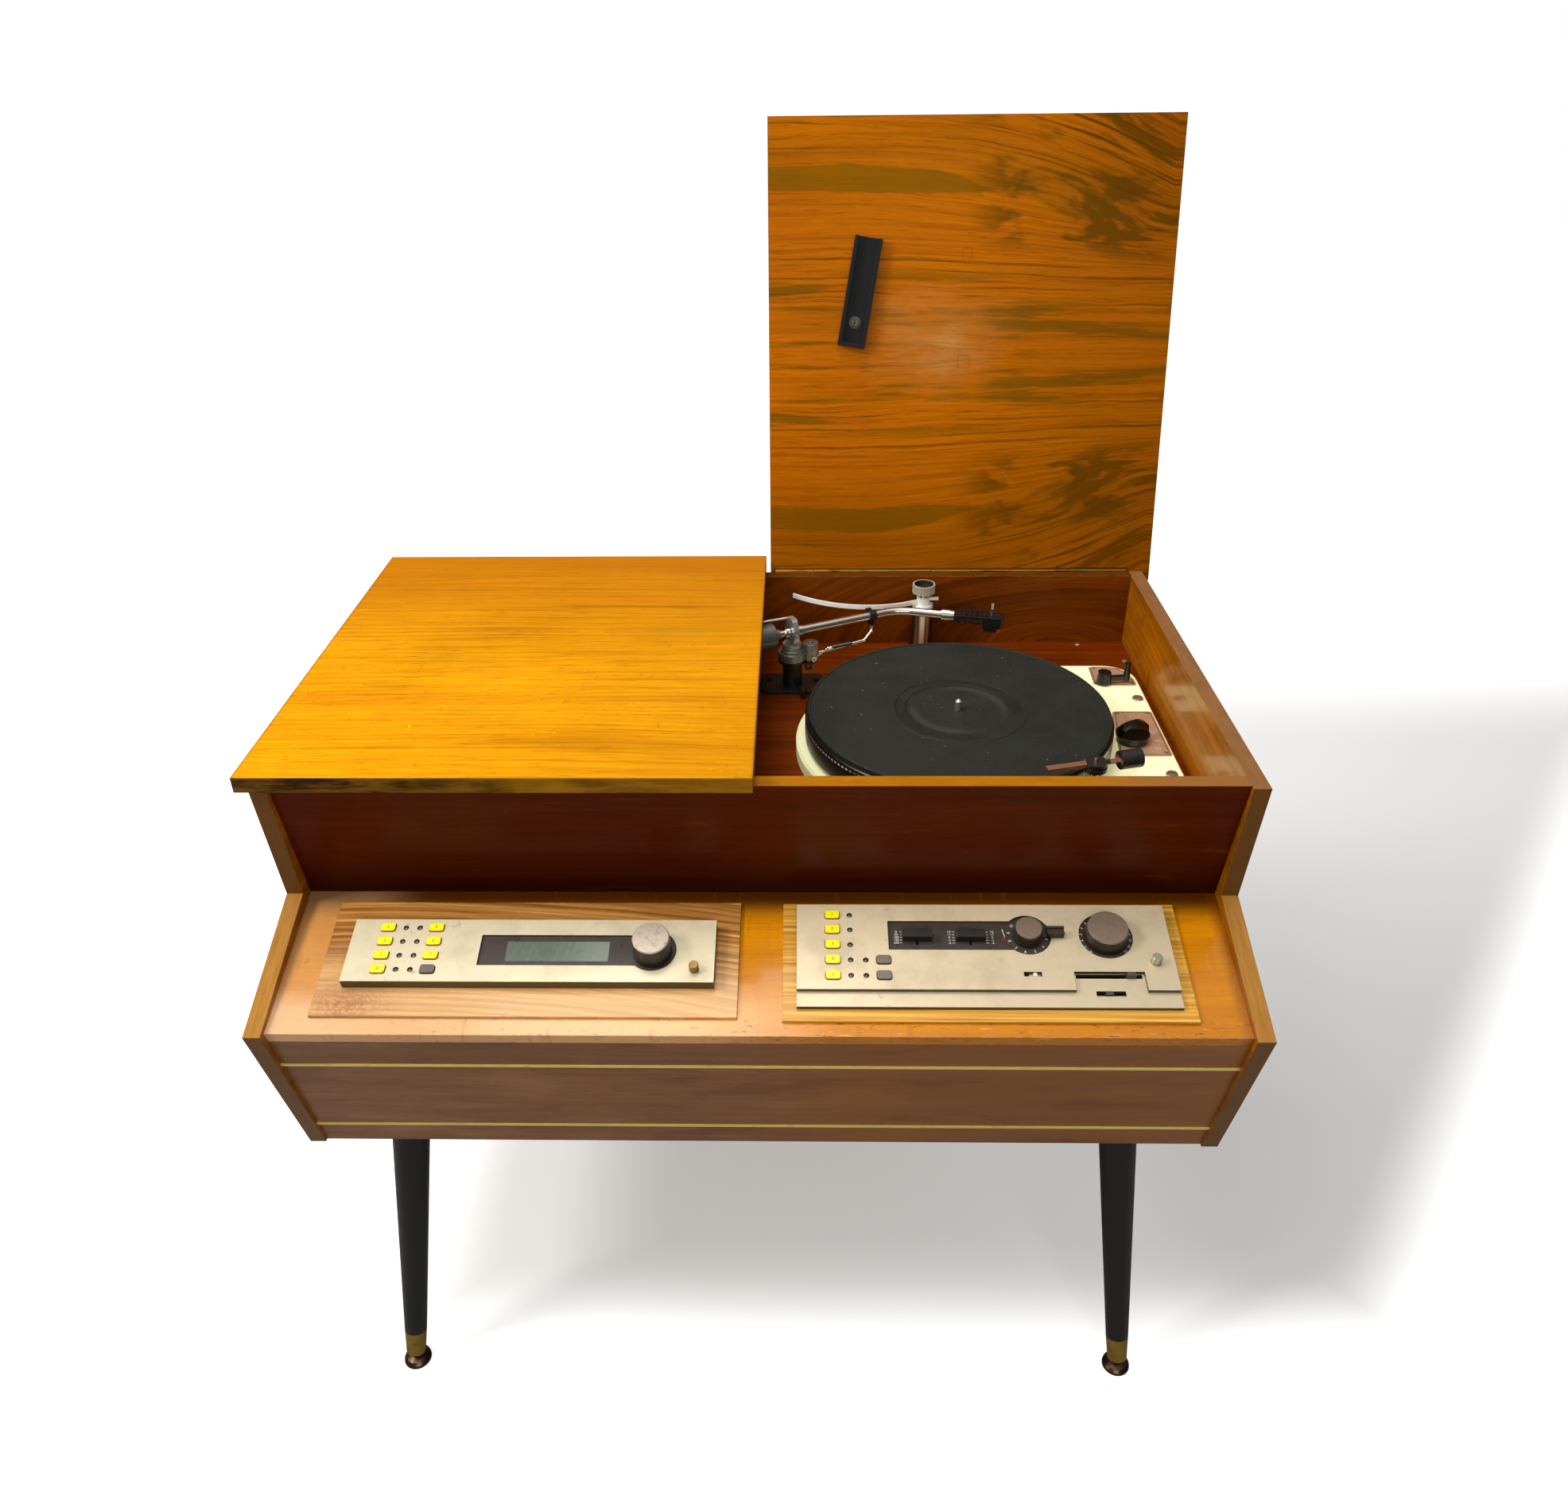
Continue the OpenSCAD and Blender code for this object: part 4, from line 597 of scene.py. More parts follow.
give(metal("yoke_satin", "c8c6be", metallic=0.8, grime=0.3, dark="3c3830"), "arm_yoke")
give(metal("weight_grey", "76726c", 0.36, metallic=0.7, grime=0.5), "counterweight")
give(metal("cleaner_chrome", "d6d0c4", 0.12, grime=0.2, dark="5a462e"), "cleaner_post")
give(metal("sweep_chrome", "fffef8", metallic=0.08, grime=0.05, coat=0.5), "sweep_arm")

# -------- clip, fronts, knobs, buttons, windows
CLIP_PIVOT = (0.0963, 0.29207, 0.926054)
CLIP_SCREW_RADIUS = 0.007
# where along x the two fronts are stained, and how far
STAINS = ((-0.305, 0.03, 0.06), (0.08, 0.02, 0.06))
# the lit display in the tuner's window: x in metres, and the way up the desk's slope
DISPLAY_X = (-0.2196, -0.2186, -0.1298, -0.129)
DISPLAY_S = (0.0661, 0.0669, 0.0864, 0.0872)


def clip_mat():
    """Black plastic with the head of its screw."""
    g = Mat("clip_plastic", rough=0.6, spec=0.3)
    bevel, edge = g.edge(0.0009, 0.01, 0.2)
    n = g.noise(260, 4, 0.7)
    g.base = g.mix(n, "060709", "111216")
    # painted highlight: the edges of the clip are lighter
    g.tint(edge, 0.5, "3a3e48")
    away = g.length(g.between(g.point, CLIP_PIVOT))
    screw = g.fall(away, CLIP_SCREW_RADIUS - 0.0002, CLIP_SCREW_RADIUS + 0.0002)
    g.cover(screw, g.mix(n, "34322c", "807c70"))
    return g.done(metal=g.mul(screw, 0.7), normal=g.bump(n, 0.2, 0.0003, bevel))


def anodised(name, col, side_col):
    """The front of a unit: stained anodised metal, with painted light that makes it brighter to the back and
    a little darker to the right, and dark sides.
    """
    g = Mat(name, metal=0.4)
    bevel, edge = g.edge(0.0005, 0.02, 0.2)
    face = g.smooth(g.dot(g.normal, DESK_UP), 0.75, 0.95)
    x, y, _ = g.xyz(g.point)
    patches = g.noise(22, 4, 0.65)
    fine = g.noise(1600, 2, 0.6)
    g.base = g.mix(g.smooth(patches, 0.45, 0.75), col, brighter(col, 0.82))
    stain = g.smooth(g.noise(75, 4, 0.75), 0.6, 0.76)
    near = [g.fall(g.gap(x, middle), inner, outer) for middle, inner, outer in STAINS]
    g.tint(stain, g.mul_add(g.larger(*near), 0.5, 0.12), "786446")
    g.base = g.mix(0.2, g.base, g.ramp(fine, [(0.35, grey(0.75)), (0.65, grey(1))]), "MULTIPLY")
    # painted light: brighter towards the back, where the overhang shades the front; it also darkens the right
    # end a little
    gain = g.mul(g.remap(y, -0.3, -0.215, 0.93, 1.28), g.remap(x, 0.1, 0.34, 1.0, 0.94))
    g.base = g.mix(1.0, g.base, g.join(gain, gain, gain), "MULTIPLY")
    g.base = g.mix(face, side_col, g.base)
    g.tint(edge, 0.6, "fffaec")
    return g.done(rough=g.uneven(patches, 0.36, 0.5), normal=g.bump(fine, 0.1, 0.0001, bevel))


def knob(name, top, side_col, ring=0.8):
    """A turned knob: a lighter top, a bright ring on its chamfer and a fine grip."""
    g = Mat(name, metal=0.6)
    bevel = g.edge()[0]
    lean = g.dot(g.normal, DESK_UP)
    on_top = g.smooth(lean, 0.9, 0.98)
    chamfer = g.mul(g.smooth(lean, 0.2, 0.45), g.flip(on_top))
    spot = g.noise(260, 4, 0.7)
    g.base = g.mix(on_top, side_col, top)
    g.tint(g.smooth(spot, 0.5, 0.75), 0.4, "2e2822")
    g.tint(chamfer, ring, "e2d8c4")
    grip = g.grain((900, 900, 900), 2)
    return g.done(rough=g.uneven(spot, 0.3, 0.48), normal=g.bump(grip, 0.15, 0.0002, bevel))


def button(name, top, side_col, worn):
    g = Mat(name, coat=0.25, coat_rough=0.15)
    bevel, edge = g.edge(0.0006, 0.01, 0.3)
    on_top = g.smooth(g.dot(g.normal, DESK_UP), 0.6, 0.95)
    n = g.noise(320, 4, 0.7)
    g.base = g.mix(on_top, side_col, g.mix(g.smooth(n, 0.52, 0.75), top, worn))
    g.tint(edge, 0.6, side_col)
    return g.done(rough=g.uneven(n, 0.28, 0.45), normal=g.bump(n, 0.06, 0.0002, bevel))


def windows():
    """Dark windows, with the greenish display in the tuner's."""
    g = Mat("window_charcoal", spec=0.4)
    x, y, z = g.xyz(g.point)
    up_slope = g.add(g.mul(g.add(y, (MID_DEPTH - DESK_Y) / 1000), SLOPE_COS),
                     g.mul(g.add(z, -DESK_Z / 1000), SLOPE_SIN))
    display = g.mul(g.within(x, *DISPLAY_X), g.within(up_slope, *DISPLAY_S))
    fine = g.noise(700, 3, 0.7)
    streaks = g.grain((260, 90, 90), 3, 0.7)
    green = g.ramp(streaks, [(0.3, "546056"), (0.55, "5e6a5e"), (0.8, "768274")])
    green = g.mix(g.mul(g.smooth(x, -0.185, -0.13), 0.5), green, "96a094")
    g.base = g.mix(display, g.mix(fine, "342c28", "463c36"), green)
    return g.done(rough=g.uneven(g.noise(90, 3), 0.25, 0.5),
                  normal=g.bump(fine, 0.05, 0.0001))


give(clip_mat(), "lid_clip")
give(anodised("tuner_face", "dcd0b0", "5c4e2e"), "tuner_front")
give(anodised("amp_face", "deccaa", "50462e"), "preamp_front")
give(knob("knob_bronze", "b2a494", "423a34"), "tuning_knob")
give(knob("knob_brown", "927e6c", "3a312a", 0.3), "volume_knob", "filter_knob")
give(knob("lever_brown", "4a423a", "302a24"), "filter_lever")
give(button("button_yellow", "fff004", "be9200", "f6d800"),
     "preset_buttons", "source_buttons")
give(button("button_mono", "605a50", "282420", "4c463c"), "mono_button")
give(button("button_monitor", "706058", "322a26", "5c4e46"), "monitor_buttons")
give(windows(), "unit_windows")

# -------- record deck and arm
# heights and places in metres, in this frame
PLATTER_X, PLATTER_Y = place(193, 320, 0)[:2]
RIM_RADIUS = 0.1495
SPINDLE_RADIUS = 0.0044
RIM_FOOT_Z = 0.5985
MARKS_Z = (0.6158, 0.6160, 0.6176, 0.6178)
MARK_COUNT = 180
RIB_PITCH = 0.0016
TRIM_SCREW_Z = 0.59465
CLEANER_BAR_Z = (0.6446, 0.6448, 0.6486, 0.6488)
CLEANER_PIVOT_X, CLEANER_BAR_END = 0.3005, 0.3215

pedestal_low, pedestal_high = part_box("arm_pedestal")
TURRET_Z = pedestal_low[2] + 0.62 * (pedestal_high[2] - pedestal_low[2])
CUE_SLEEVE_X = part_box("cue_lever")[1][0] - 0.0225
ARM_TURN = math.radians(25.5)
ARM_PIVOT = place(28.5, 457.5, 1000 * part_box("platter_mat")[1][2] + 18)
ARM_LINE = Vector((math.cos(ARM_TURN), math.sin(ARM_TURN), 0))
ARM_SLEEVE = 0.097       # how far from the pivot the arm lies in its rest
LIFT_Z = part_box("headshell")[1][2] - 0.0071
cartridge_low, cartridge_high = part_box("cartridge")
TIP_X, TIP_Z = cartridge_high[0], cartridge_low[2] + 0.0075
post_low, post_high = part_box("sweep_post")
POST_AXIS = ((post_low[0] + post_high[0]) / 2, (post_low[1] + post_high[1]) / 2, 0)
CUP_Z, FOOT_Z = post_high[2] - 0.0102, post_low[2] + 0.005


def cream():
    """Chipped cream enamel with yellowed edges. Its faint glow stands for light from the well's walls."""
    g = Mat("cream_enamel", coat=0.2)
    bevel, edge = g.edge(0.0012)
    n = g.noise(30, 4, 0.6)
    g.base = g.mix(g.smooth(n, 0.5, 0.8), "ffffd6", "fcf6c2")
    chips = g.smooth(g.noise(500, 2, 0.6), 0.7, 0.78)
    g.tint(chips, 0.4, "786446")
    g.tint(edge, 0.35, "ceba82")
    return g.done(rough=g.uneven(n, 0.25, 0.4), normal=g.bump(n, 0.03, 0.0003, bevel),
                  emit="ffffb4", emit_strength=0.2)


def trim_mat():
    """Bronze plates with steel screws on them."""
    g = Mat("bronze_plates", metal=0.3)
    bevel, edge = g.edge(0.0005)
    n = g.noise(60, 4, 0.6)
    g.base = g.mix(n, "deb896", "ac8262")
    screw = g.smooth(g.xyz(g.point)[2], TRIM_SCREW_Z, TRIM_SCREW_Z + 0.00005)
    g.cover(screw, g.mix(n, "968c78", "605646"))
    g.tint(edge, 0.7, "3c281e")
    return g.done(rough=g.uneven(n, 0.28, 0.4),
                  normal=g.bump(g.grain((80, 900, 900), 2), 0.05, 0.0001, bevel))


def platter_mat():
    """Dark platter with a row of worn marks round its rim and a bright spindle."""
    g = Mat("platter_rim")
    x, y, z = g.xyz(g.point)
    dx, dy = g.sub(x, PLATTER_X), g.sub(y, PLATTER_Y)
    radius = g.radius(dx, dy)
    turn = g.math("FRACT", g.mul(g.math("ARCTAN2", dy, dx), MARK_COUNT / (2 * math.pi)))
    marks = g.mul(g.within(turn, 0.4, 0.46, 0.94, 1.0), g.within(z, *MARKS_Z))
    marks = g.mul(marks, g.smooth(g.noise(14, 2), 0.42, 0.52))
    n = g.noise(80, 4, 0.6)
    g.base = g.mix(n, "100f0e", "221f1c")
    g.cover(g.fall(z, RIM_FOOT_Z, RIM_FOOT_Z + 0.001), "605a42")
    g.cover(marks, "ecece6")
    spindle = g.fall(radius, SPINDLE_RADIUS - 0.0002, SPINDLE_RADIUS + 0.0002)
    g.cover(spindle, "dcdcde")
    return g.done(metal=g.larger(spindle, 0.2), rough=g.uneven(n, 0.25, 0.42))


def mat_rubber():
    """Ribbed rubber with dust, a dark ring and a rubbed one."""
    g = Mat("mat_rubber", spec=0.25)
    x, y, _ = g.xyz(g.point)
    dx, dy = g.sub(x, PLATTER_X), g.sub(y, PLATTER_Y)
    radius = g.radius(dx, dy)
    ribs = g.math("SINE", g.mul(radius, 2 * math.pi / RIB_PITCH))
    n = g.noise(24, 5, 0.65)
    g.base = g.mix(n, "171b18", "2a2e29")
    g.cover(g.remap(ribs, -1, 1, 0.0, 0.16), "141413")
    dust = g.smooth(g.noise(700, 2), 0.7, 0.76)
    g.tint(dust, 0.35, "aaa69c")
    speck = g.smooth(g.noise(260, 1), 0.79, 0.8)
    g.tint(speck, 0.6, "96948c")
    side = g.smooth(g.size(g.add(dx, dy)), 0.02, 0.06)
    ring = g.fall(g.gap(radius, 0.056), 0.005, 0.009)
    g.tint(g.mul(ring, side), 0.4, "10100f")
    rubbed = g.fall(g.gap(radius, 0.044), 0.001, 0.007)
    g.tint(g.mul(rubbed, side), 0.35, "4a4844")
    height = g.mul_add(g.noise(900, 3, 0.7), 0.6, ribs)
    return g.done(rough=g.uneven(n, 0.5, 0.7), normal=g.bump(height, 0.25, 0.0003))


def pedestal_mat():
    """Satin turret on a black column and base plate."""
    g = Mat("arm_grey")
    bevel, edge = g.edge(0.0005)
    n = g.noise(90, 4, 0.6)
    low = g.fall(g.xyz(g.point)[2], TURRET_Z, TURRET_Z + 0.0004)
    g.base = g.mix(n, "a8a69e", "605c54")
    g.tint(edge, 0.5, "eceae2")
    g.cover(low, g.mix(n, "0e0d0c", "282420"))
    return g.done(metal=g.mul_add(low, -0.6, 0.75), rough=g.uneven(n, 0.28, 0.42), normal=bevel)


def cue_mat():
    """Bright rod with a black sleeve over its outer end."""
    g = Mat("cue_chrome")
    n = g.noise(420, 3, 0.6)
    sleeve = g.smooth(g.xyz(g.point)[0], CUE_SLEEVE_X, CUE_SLEEVE_X + 0.0003)
    g.base = g.mix(g.smooth(n, 0.3, 0.7), "b0aca2", "f4f2ec")
    g.cover(sleeve, g.mix(n, "0e0d0c", "26221e"))
    return g.done(metal=g.flip(sleeve), rough=g.uneven(n, 0.2, 0.32),
                  normal=g.bump(n, 0.04, 0.0001, g.edge()[0]))


def arm_mat(name, reach, radius):
    """Chrome with a black sleeve where the arm lies in its rest."""
    g = Mat(name)
    n = g.noise(150, 4, 0.6)
    from_pivot = g.between(g.point, ARM_PIVOT)
    along = g.dot(from_pivot, ARM_LINE)
    nearest = g.node("VectorMath", {0: ARM_LINE, 3: along}, operation="SCALE")
    away = g.length(g.between(from_pivot, nearest))
    at_rest = g.fall(g.gap(along, ARM_SLEEVE), reach, reach + 0.0001)
    sleeve = g.mul(at_rest, g.fall(away, radius, radius + 0.0002))
    g.base = g.mix(g.mul(n, 0.15), "f6f4ee", "786850")
    g.cover(sleeve, "141313")
    return g.done(metal=g.flip(sleeve), rough=g.mul_add(sleeve, 0.25, 0.2), normal=g.edge()[0])


def shell_mat():
    """Black shell with a bright finger lift."""
    g = Mat("shell_black", spec=0.35)
    bevel, edge = g.edge()
    n = g.noise(200, 3, 0.6)
    lift = g.smooth(g.xyz(g.point)[2], LIFT_Z, LIFT_Z + 0.0002)
    g.base = g.mix(n, "0a0a0b", "1a1a1c")
    g.tint(edge, 0.5, "545458")
    g.cover(lift, "ece8de")
    return g.done(metal=g.mul(lift, 0.7), rough=g.uneven(n, 0.3, 0.45), normal=bevel)


def cartridge_mat():
    """Black body with a red tip."""
    g = Mat("cartridge_body", rough=0.35)
    x, _, z = g.xyz(g.point)
    n = g.noise(200, 3)
    red = g.mul(g.smooth(x, TIP_X - 0.0062, TIP_X - 0.006), g.fall(z, TIP_Z, TIP_Z + 0.0002))
    g.base = g.mix(red, g.mix(n, "0a0909", "1c1918"), "a82214")
    return g.done(normal=g.bump(n, 0.1, 0.0002))


def post_mat():
    """Chrome post whose reflections are painted round it, with a matt cup on top and a black foot."""
    g = Mat("post_chrome")
    z = g.xyz(g.point)[2]
    n = g.noise(120, 4, 0.6)
    cup = g.smooth(z, CUP_Z, CUP_Z + 0.0004)
    foot = g.fall(z, FOOT_Z, FOOT_Z + 0.0004)
    around = g.remap(g.xyz(g.normal)[0], -1.0, 1.0)
    mirror = g.ramp(around, [(0.08, "462c16"), (0.2, "967e60"), (0.27, "604222"),
                             (0.4, "fffcf0"), (0.55, "fff6e0"), (0.62, "784e22"),
                             (0.74, "ceb080"), (0.82, "543214"), (0.95, "3c2412")])
    g.base = g.mix(g.mul(n, 0.15), mirror, "8c7456")
    g.cover(cup, g.mix(n, "968e76", "cec8b2"))
    g.cover(foot, "161413")
    from_axis = g.between(g.point, POST_AXIS)
    away = g.length(g.vector_math("MULTIPLY", from_axis, (1, 1, 0)))
    g.cover(g.mul(cup, g.fall(away, 0.0108, 0.0111)), "342c20")
    return g.done(metal=g.sub(0.8, g.mul(g.larger(foot, g.mul(cup, 0.75)), 0.8)),
                  rough=g.mul_add(cup, 0.2, 0.28), normal=g.edge(0.0005)[0])


def cleaner_mat():
    """Black arm with a copper strip along its bar."""
    g = Mat("cleaner_black", rough=0.4)
    x, _, z = g.xyz(g.point)
    n = g.noise(160, 3)
    on_bar = g.mul(g.smooth(g.gap(x, CLEANER_PIVOT_X), 0.0112, 0.0116),
                   g.fall(x, CLEANER_BAR_END, CLEANER_BAR_END + 0.0005))
    strip = g.mul(on_bar, g.within(z, *CLEANER_BAR_Z))
    g.base = g.mix(strip, g.mix(n, "100f0f", "262321"), "ba886a")
    return g.done(metal=g.mul(strip, 0.8), normal=g.bump(n, 0.1, 0.0002, g.edge()[0]))


give(cream(), "chassis_plate")
give(trim_mat(), "chassis_trim")
give(platter_mat(), "platter")
give(mat_rubber(), "platter_mat")
give(pedestal_mat(), "arm_pedestal")
give(cue_mat(), "cue_lever")
give(arm_mat("tube_chrome", 0.0041, 0.02), "arm_tube")
give(arm_mat("rest_chrome", 0.0032, 0.0112), "arm_rest")
give(shell_mat(), "headshell")
give(cartridge_mat(), "cartridge")
give(post_mat(), "sweep_post")
give(cleaner_mat(), "cleaner_arm")


# -------- extra visual pieces
INK_THICKNESS = 0.00005
AMP_LEFT = 34.3          # the amplifier's left edge, in mm
AMP_TOP, PRESET_TOP, SOURCE_TOP = 9.03, 14.71, 12.71    # heights over the desk, in mm
PRESET_ROWS = [56.3 + i * 14.45 for i in range(4)]
SOURCE_ROWS = [53.1 + i * 15.7 for i in range(5)]
PRESET_X, SOURCE_X = (-327, -284), AMP_LEFT + 31.1
TUNER_LAMPS_X, TUNER_LAMP_TOP = (-311.3, -298.9), 11.8
AMP_LAMPS_X, AMP_LAMP_TOP = (AMP_LEFT + 46.6, AMP_LEFT + 59.6), 9.8
SCALE_TOP, SCALE_STEP = 99.6, 2.9
# the slider scales: marks from the top down, x of text and dash in each column, letter size, dash length
SLIDER_SCALES = ((("+2", "+1", "0", "-1", "-2"), ((133.6, 137.2), (171.3, 166.6)), 0.0031, 0.0022),
                 (("0", "50", "100", "150", "200"), ((87.2, 91.3),), 0.003, 0.0016))
# the round scales: axis, radius, angles of the numbers, first number, turn of its letters, letter size
ROUND_SCALES = (((AMP_LEFT + 201.8, 95.4), 16.8, range(-12, -252, -30), 3, math.pi / 2, 0.0038),
                ((AMP_LEFT + 269.8, 94.5), 21.3, range(226, -62, -18), 0, -math.pi / 2, 0.0032))
BUTTON_TEXT = 0.0046
BOARD_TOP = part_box("motor_board")[1][2]
PLATE_TOP = 1000 * BOARD_TOP + 15.5
BOARD_SCREWS = ((360.7, 560.0), (406.0, 517.0))
# the two control plates: the control's axis, and the printed outline round it, in mm
LEVER, SPEED = (362.9, 433.9), (366.0, 312.0)
LEVER_OUTLINE = [(-7, 34.4), (-3, 36), (9.8, 35.6), (21.8, 32.2), (28.2, 23.4), (31.9, 9.8), (32.4, -2),
                 (31, -3.2), (-6.4, -3.2), (-8.6, -1.6)]
SPEED_OUTLINE = [(-4.4, 56.6), (30.2, 56.6), (31, 55.8), (31, -27.4), (30, -28.4), (-15.2, -28.4),
                 (-16.2, -27.2)]
# word, control, place from its axis and letter size
PLATE_WORDS = (("33", SPEED, 22.0, -17.0, 0.0062), ("45", SPEED, 25.0, -2.0, 0.0062),
               ("78", SPEED, 24.0, 14.0, 0.0062), ("1   2   3", SPEED, 9, 47, 0.0062),
               ("ON", LEVER, 20.5, 1.0, 0.0062), ("OFF", LEVER, 7.0, 30.0, 0.0058))
# lathe profiles: radius and height, in metres
SCREW_PROFILE = ((0.0034, 0), (0.0032, 0.0006), (0.0024, 0.0011), (0.0012, 0.0013), (0, 0.0013))
LENS_PROFILE = ((0.00175, 0.0), (0.0016, 0.0004), (0.0012, 0.0007), (0.0006, 0.00086), (0, 0.0009))
DOT_PROFILE = ((0.0009, 0), (0.0008, 0.0003), (0, 0.0004))


def new_piece(name, bm, material, body, smooth=False):
    mesh = bpy.data.meshes.new(name)
    bm.to_mesh(mesh)
    bm.free()
    for polygon in mesh.polygons:
        polygon.use_smooth = smooth
    mesh.materials.append(material)
    piece = bpy.data.objects.new(name, mesh)
    scene.collection.objects.link(piece)
    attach(piece, body)


def lathe(bm, profile, matrix, count):
    """A turned solid, closed at the end of the profile where the radius is 0."""
    rings = []
    for radius, z in profile:
        turns = [2 * math.pi * i / count for i in range(count)] if radius else [0]
        rings.append([bm.verts.new(matrix @ Vector((radius * math.cos(a), radius * math.sin(a), z)))
                      for a in turns])
    for low, high in zip(rings, rings[1:]):
        for i in range(count):
            j = (i + 1) % count
            if len(high) == 1:
                bm.faces.new((high[0], low[i], low[j]))
            else:
                bm.faces.new((low[i], low[j], high[j], high[i]))


def slab(bm, matrix, length, width, height=INK_THICKNESS):
    corners = [bm.verts.new(matrix @ Vector((x * length / 2, y * width / 2, z * height)))
               for x in (-1, 1) for y in (-1, 1) for z in (0, 1)]
    for face in ((0, 1, 3, 2), (4, 6, 7, 5), (0, 4, 5, 1), (2, 3, 7, 6), (0, 2, 6, 4), (1, 5, 7, 3)):
        bm.faces.new([corners[i] for i in face])


def write(bm, string, matrix, size):
    """Adds raised text to the mesh, centred on the matrix."""
    curve = bpy.data.curves.new("text", "FONT")
    curve.body = string
    curve.size = size
    curve.align_x = "CENTER"
    curve.align_y = "CENTER"
    curve.extrude = 0.00003
    curve.resolution_u = 3
    text = bpy.data.objects.new("text", curve)
    scene.collection.objects.link(text)
    bpy.context.view_layer.update()
    mesh = bpy.data.meshes.new_from_object(text.evaluated_get(bpy.context.evaluated_depsgraph_get()))
    mesh.transform(matrix)
    bm.from_mesh(mesh)
    bpy.data.meshes.remove(mesh)
    bpy.data.objects.remove(text)
    bpy.data.curves.remove(curve)


def dial_numbers(bm, centre, radius, angles, first, turn, size):
    """Numbers round a knob of the amplifier; turn sets which way is up for them."""
    for number, angle in enumerate(angles, first):
        a = math.radians(angle)
        x, s = centre[0] + radius * math.cos(a), centre[1] + radius * math.sin(a)
        write(bm, str(number), desk_matrix(x, s, AMP_TOP, a + turn), size)


def outline(bm, axis, points, width):
    """A printed line round a control plate."""
    for start, end in zip(points, points[1:] + points[:1]):
        a = place(axis[0] + start[0], axis[1] + start[1], PLATE_TOP)
        b = place(axis[0] + end[0], axis[1] + end[1], PLATE_TOP)
        matrix = Matrix.Rotation(math.atan2(b.y - a.y, b.x - a.x), 4, "Z")
        matrix.translation = (a + b) / 2
        slab(bm, matrix, (b - a).length + width, width, 0.00004)


def ink(name, color, speck=0.3, rough=0.5):
    return plastic(name, color, rough, speck=speck, bumpy=0.05, edge_r=0.0001)


def lens_mat(name, a, b):
    g = Mat(name, rough=0.25, coat=0.3)
    n = g.noise(700, 3)
    g.base = g.mix(n, a, b)
    return g.done(normal=g.bump(n, 0.1, 0.0002))


def lenses(name, spots, material, profile=LENS_PROFILE, count=16):
    bm = bmesh.new()
    for x, s, h in spots:
        lathe(bm, profile, desk_matrix(x, s, h), count)
    bmesh.ops.recalc_face_normals(bm, faces=bm.faces)
    new_piece(name, bm, material, "cabinet", smooth=True)


dials = bmesh.new()
for marks, columns, size, dash in SLIDER_SCALES:
    for i, text in enumerate(marks):
        for text_x, dash_x in columns:
            s = SCALE_TOP - i * SCALE_STEP
            write(dials, text, desk_matrix(AMP_LEFT + text_x, s, AMP_TOP), size)
            slab(dials, desk_matrix(AMP_LEFT + dash_x, s, AMP_TOP), dash, 0.0004)
for scale in ROUND_SCALES:
    dial_numbers(dials, *scale)
slab(dials, desk_matrix(AMP_LEFT + 181.3, 98.6, AMP_TOP, 0.2), 0.0005, 0.008)
new_piece("dial_scales", dials, ink("ink_white", "f6f2e6", 0.2, 0.6), "cabinet")

borders = bmesh.new()
outline(borders, LEVER, LEVER_OUTLINE, 0.0007)
outline(borders, SPEED, SPEED_OUTLINE, 0.0007)
new_piece("plate_borders", borders, ink("ink_black", "1a100c"), "cabinet")

words = bmesh.new()
for word, axis, x, y, size in PLATE_WORDS:
    write(words, word, Matrix.Translation(place(axis[0] + x, axis[1] + y, PLATE_TOP)), size)
new_piece("plate_marks", words, ink("ink_pink", "d6b29c"), "cabinet")

screws = bmesh.new()
for x, y in BOARD_SCREWS:
    head = Matrix.Translation(place(x, y, 1000 * BOARD_TOP))
    lathe(screws, SCREW_PROFILE, head, 20)
    slot = Matrix.Rotation(0.6, 4, "Z")
    slot.translation = head.translation + Vector((0, 0, 0.00115))
    slab(screws, slot, 0.0058, 0.0006, 0.00018)
bmesh.ops.recalc_face_normals(screws, faces=screws.faces)
new_piece("board_screws", screws, metal("screw_brass", "be9682", 0.35, metallic=0.7, grime=0.5), "cabinet")

ink_amber = ink("ink_amber", "96600a", 0.2, 0.6)
presets = bmesh.new()
for column, x in enumerate(PRESET_X):
    for i, s in list(enumerate(PRESET_ROWS))[column:]:
        write(presets, str(4 * (column + 1) - i), desk_matrix(x, s, PRESET_TOP), BUTTON_TEXT)
new_piece("preset_numbers", presets, ink_amber, "preset_buttons")
sources = bmesh.new()
for i, s in enumerate(SOURCE_ROWS):
    write(sources, str(5 - i), desk_matrix(SOURCE_X, s, SOURCE_TOP), BUTTON_TEXT)
new_piece("source_numbers", sources, ink_amber, "source_buttons")

# red are the lowest lamp in the tuner's right column and both in the amplifier's
tuner_lamps = [(x, s, TUNER_LAMP_TOP) for x in TUNER_LAMPS_X for s in PRESET_ROWS]
amp_lamps = [(AMP_LAMPS_X[0], s, AMP_LAMP_TOP) for s in SOURCE_ROWS]
reds = [tuner_lamps.pop(4)] + [(AMP_LAMPS_X[1], s, AMP_LAMP_TOP) for s in SOURCE_ROWS[:2]]
lenses("lamp_lenses_green", tuner_lamps + amp_lamps, lens_mat("lens_green", "2e4236", "6e7c6c"))
lenses("lamp_lenses_red", reds, lens_mat("lens_red", "461a18", "84463e"))
lenses("filter_dot", [(AMP_LEFT + 181.6, 93.2, 9.0)], lens_mat("dot_red", "be1810", "dc321e"),
       DOT_PROFILE, 12)

# -------- floor, world and lights
bpy.ops.mesh.primitive_plane_add(size=14, location=(0, 0, 0))
floor = bpy.context.object
floor.name = "floor"
g = Mat("floor_paper", rough=0.9, spec=0.0)
seen = g.node("LightPath")
x, y, _ = g.xyz(g.point)
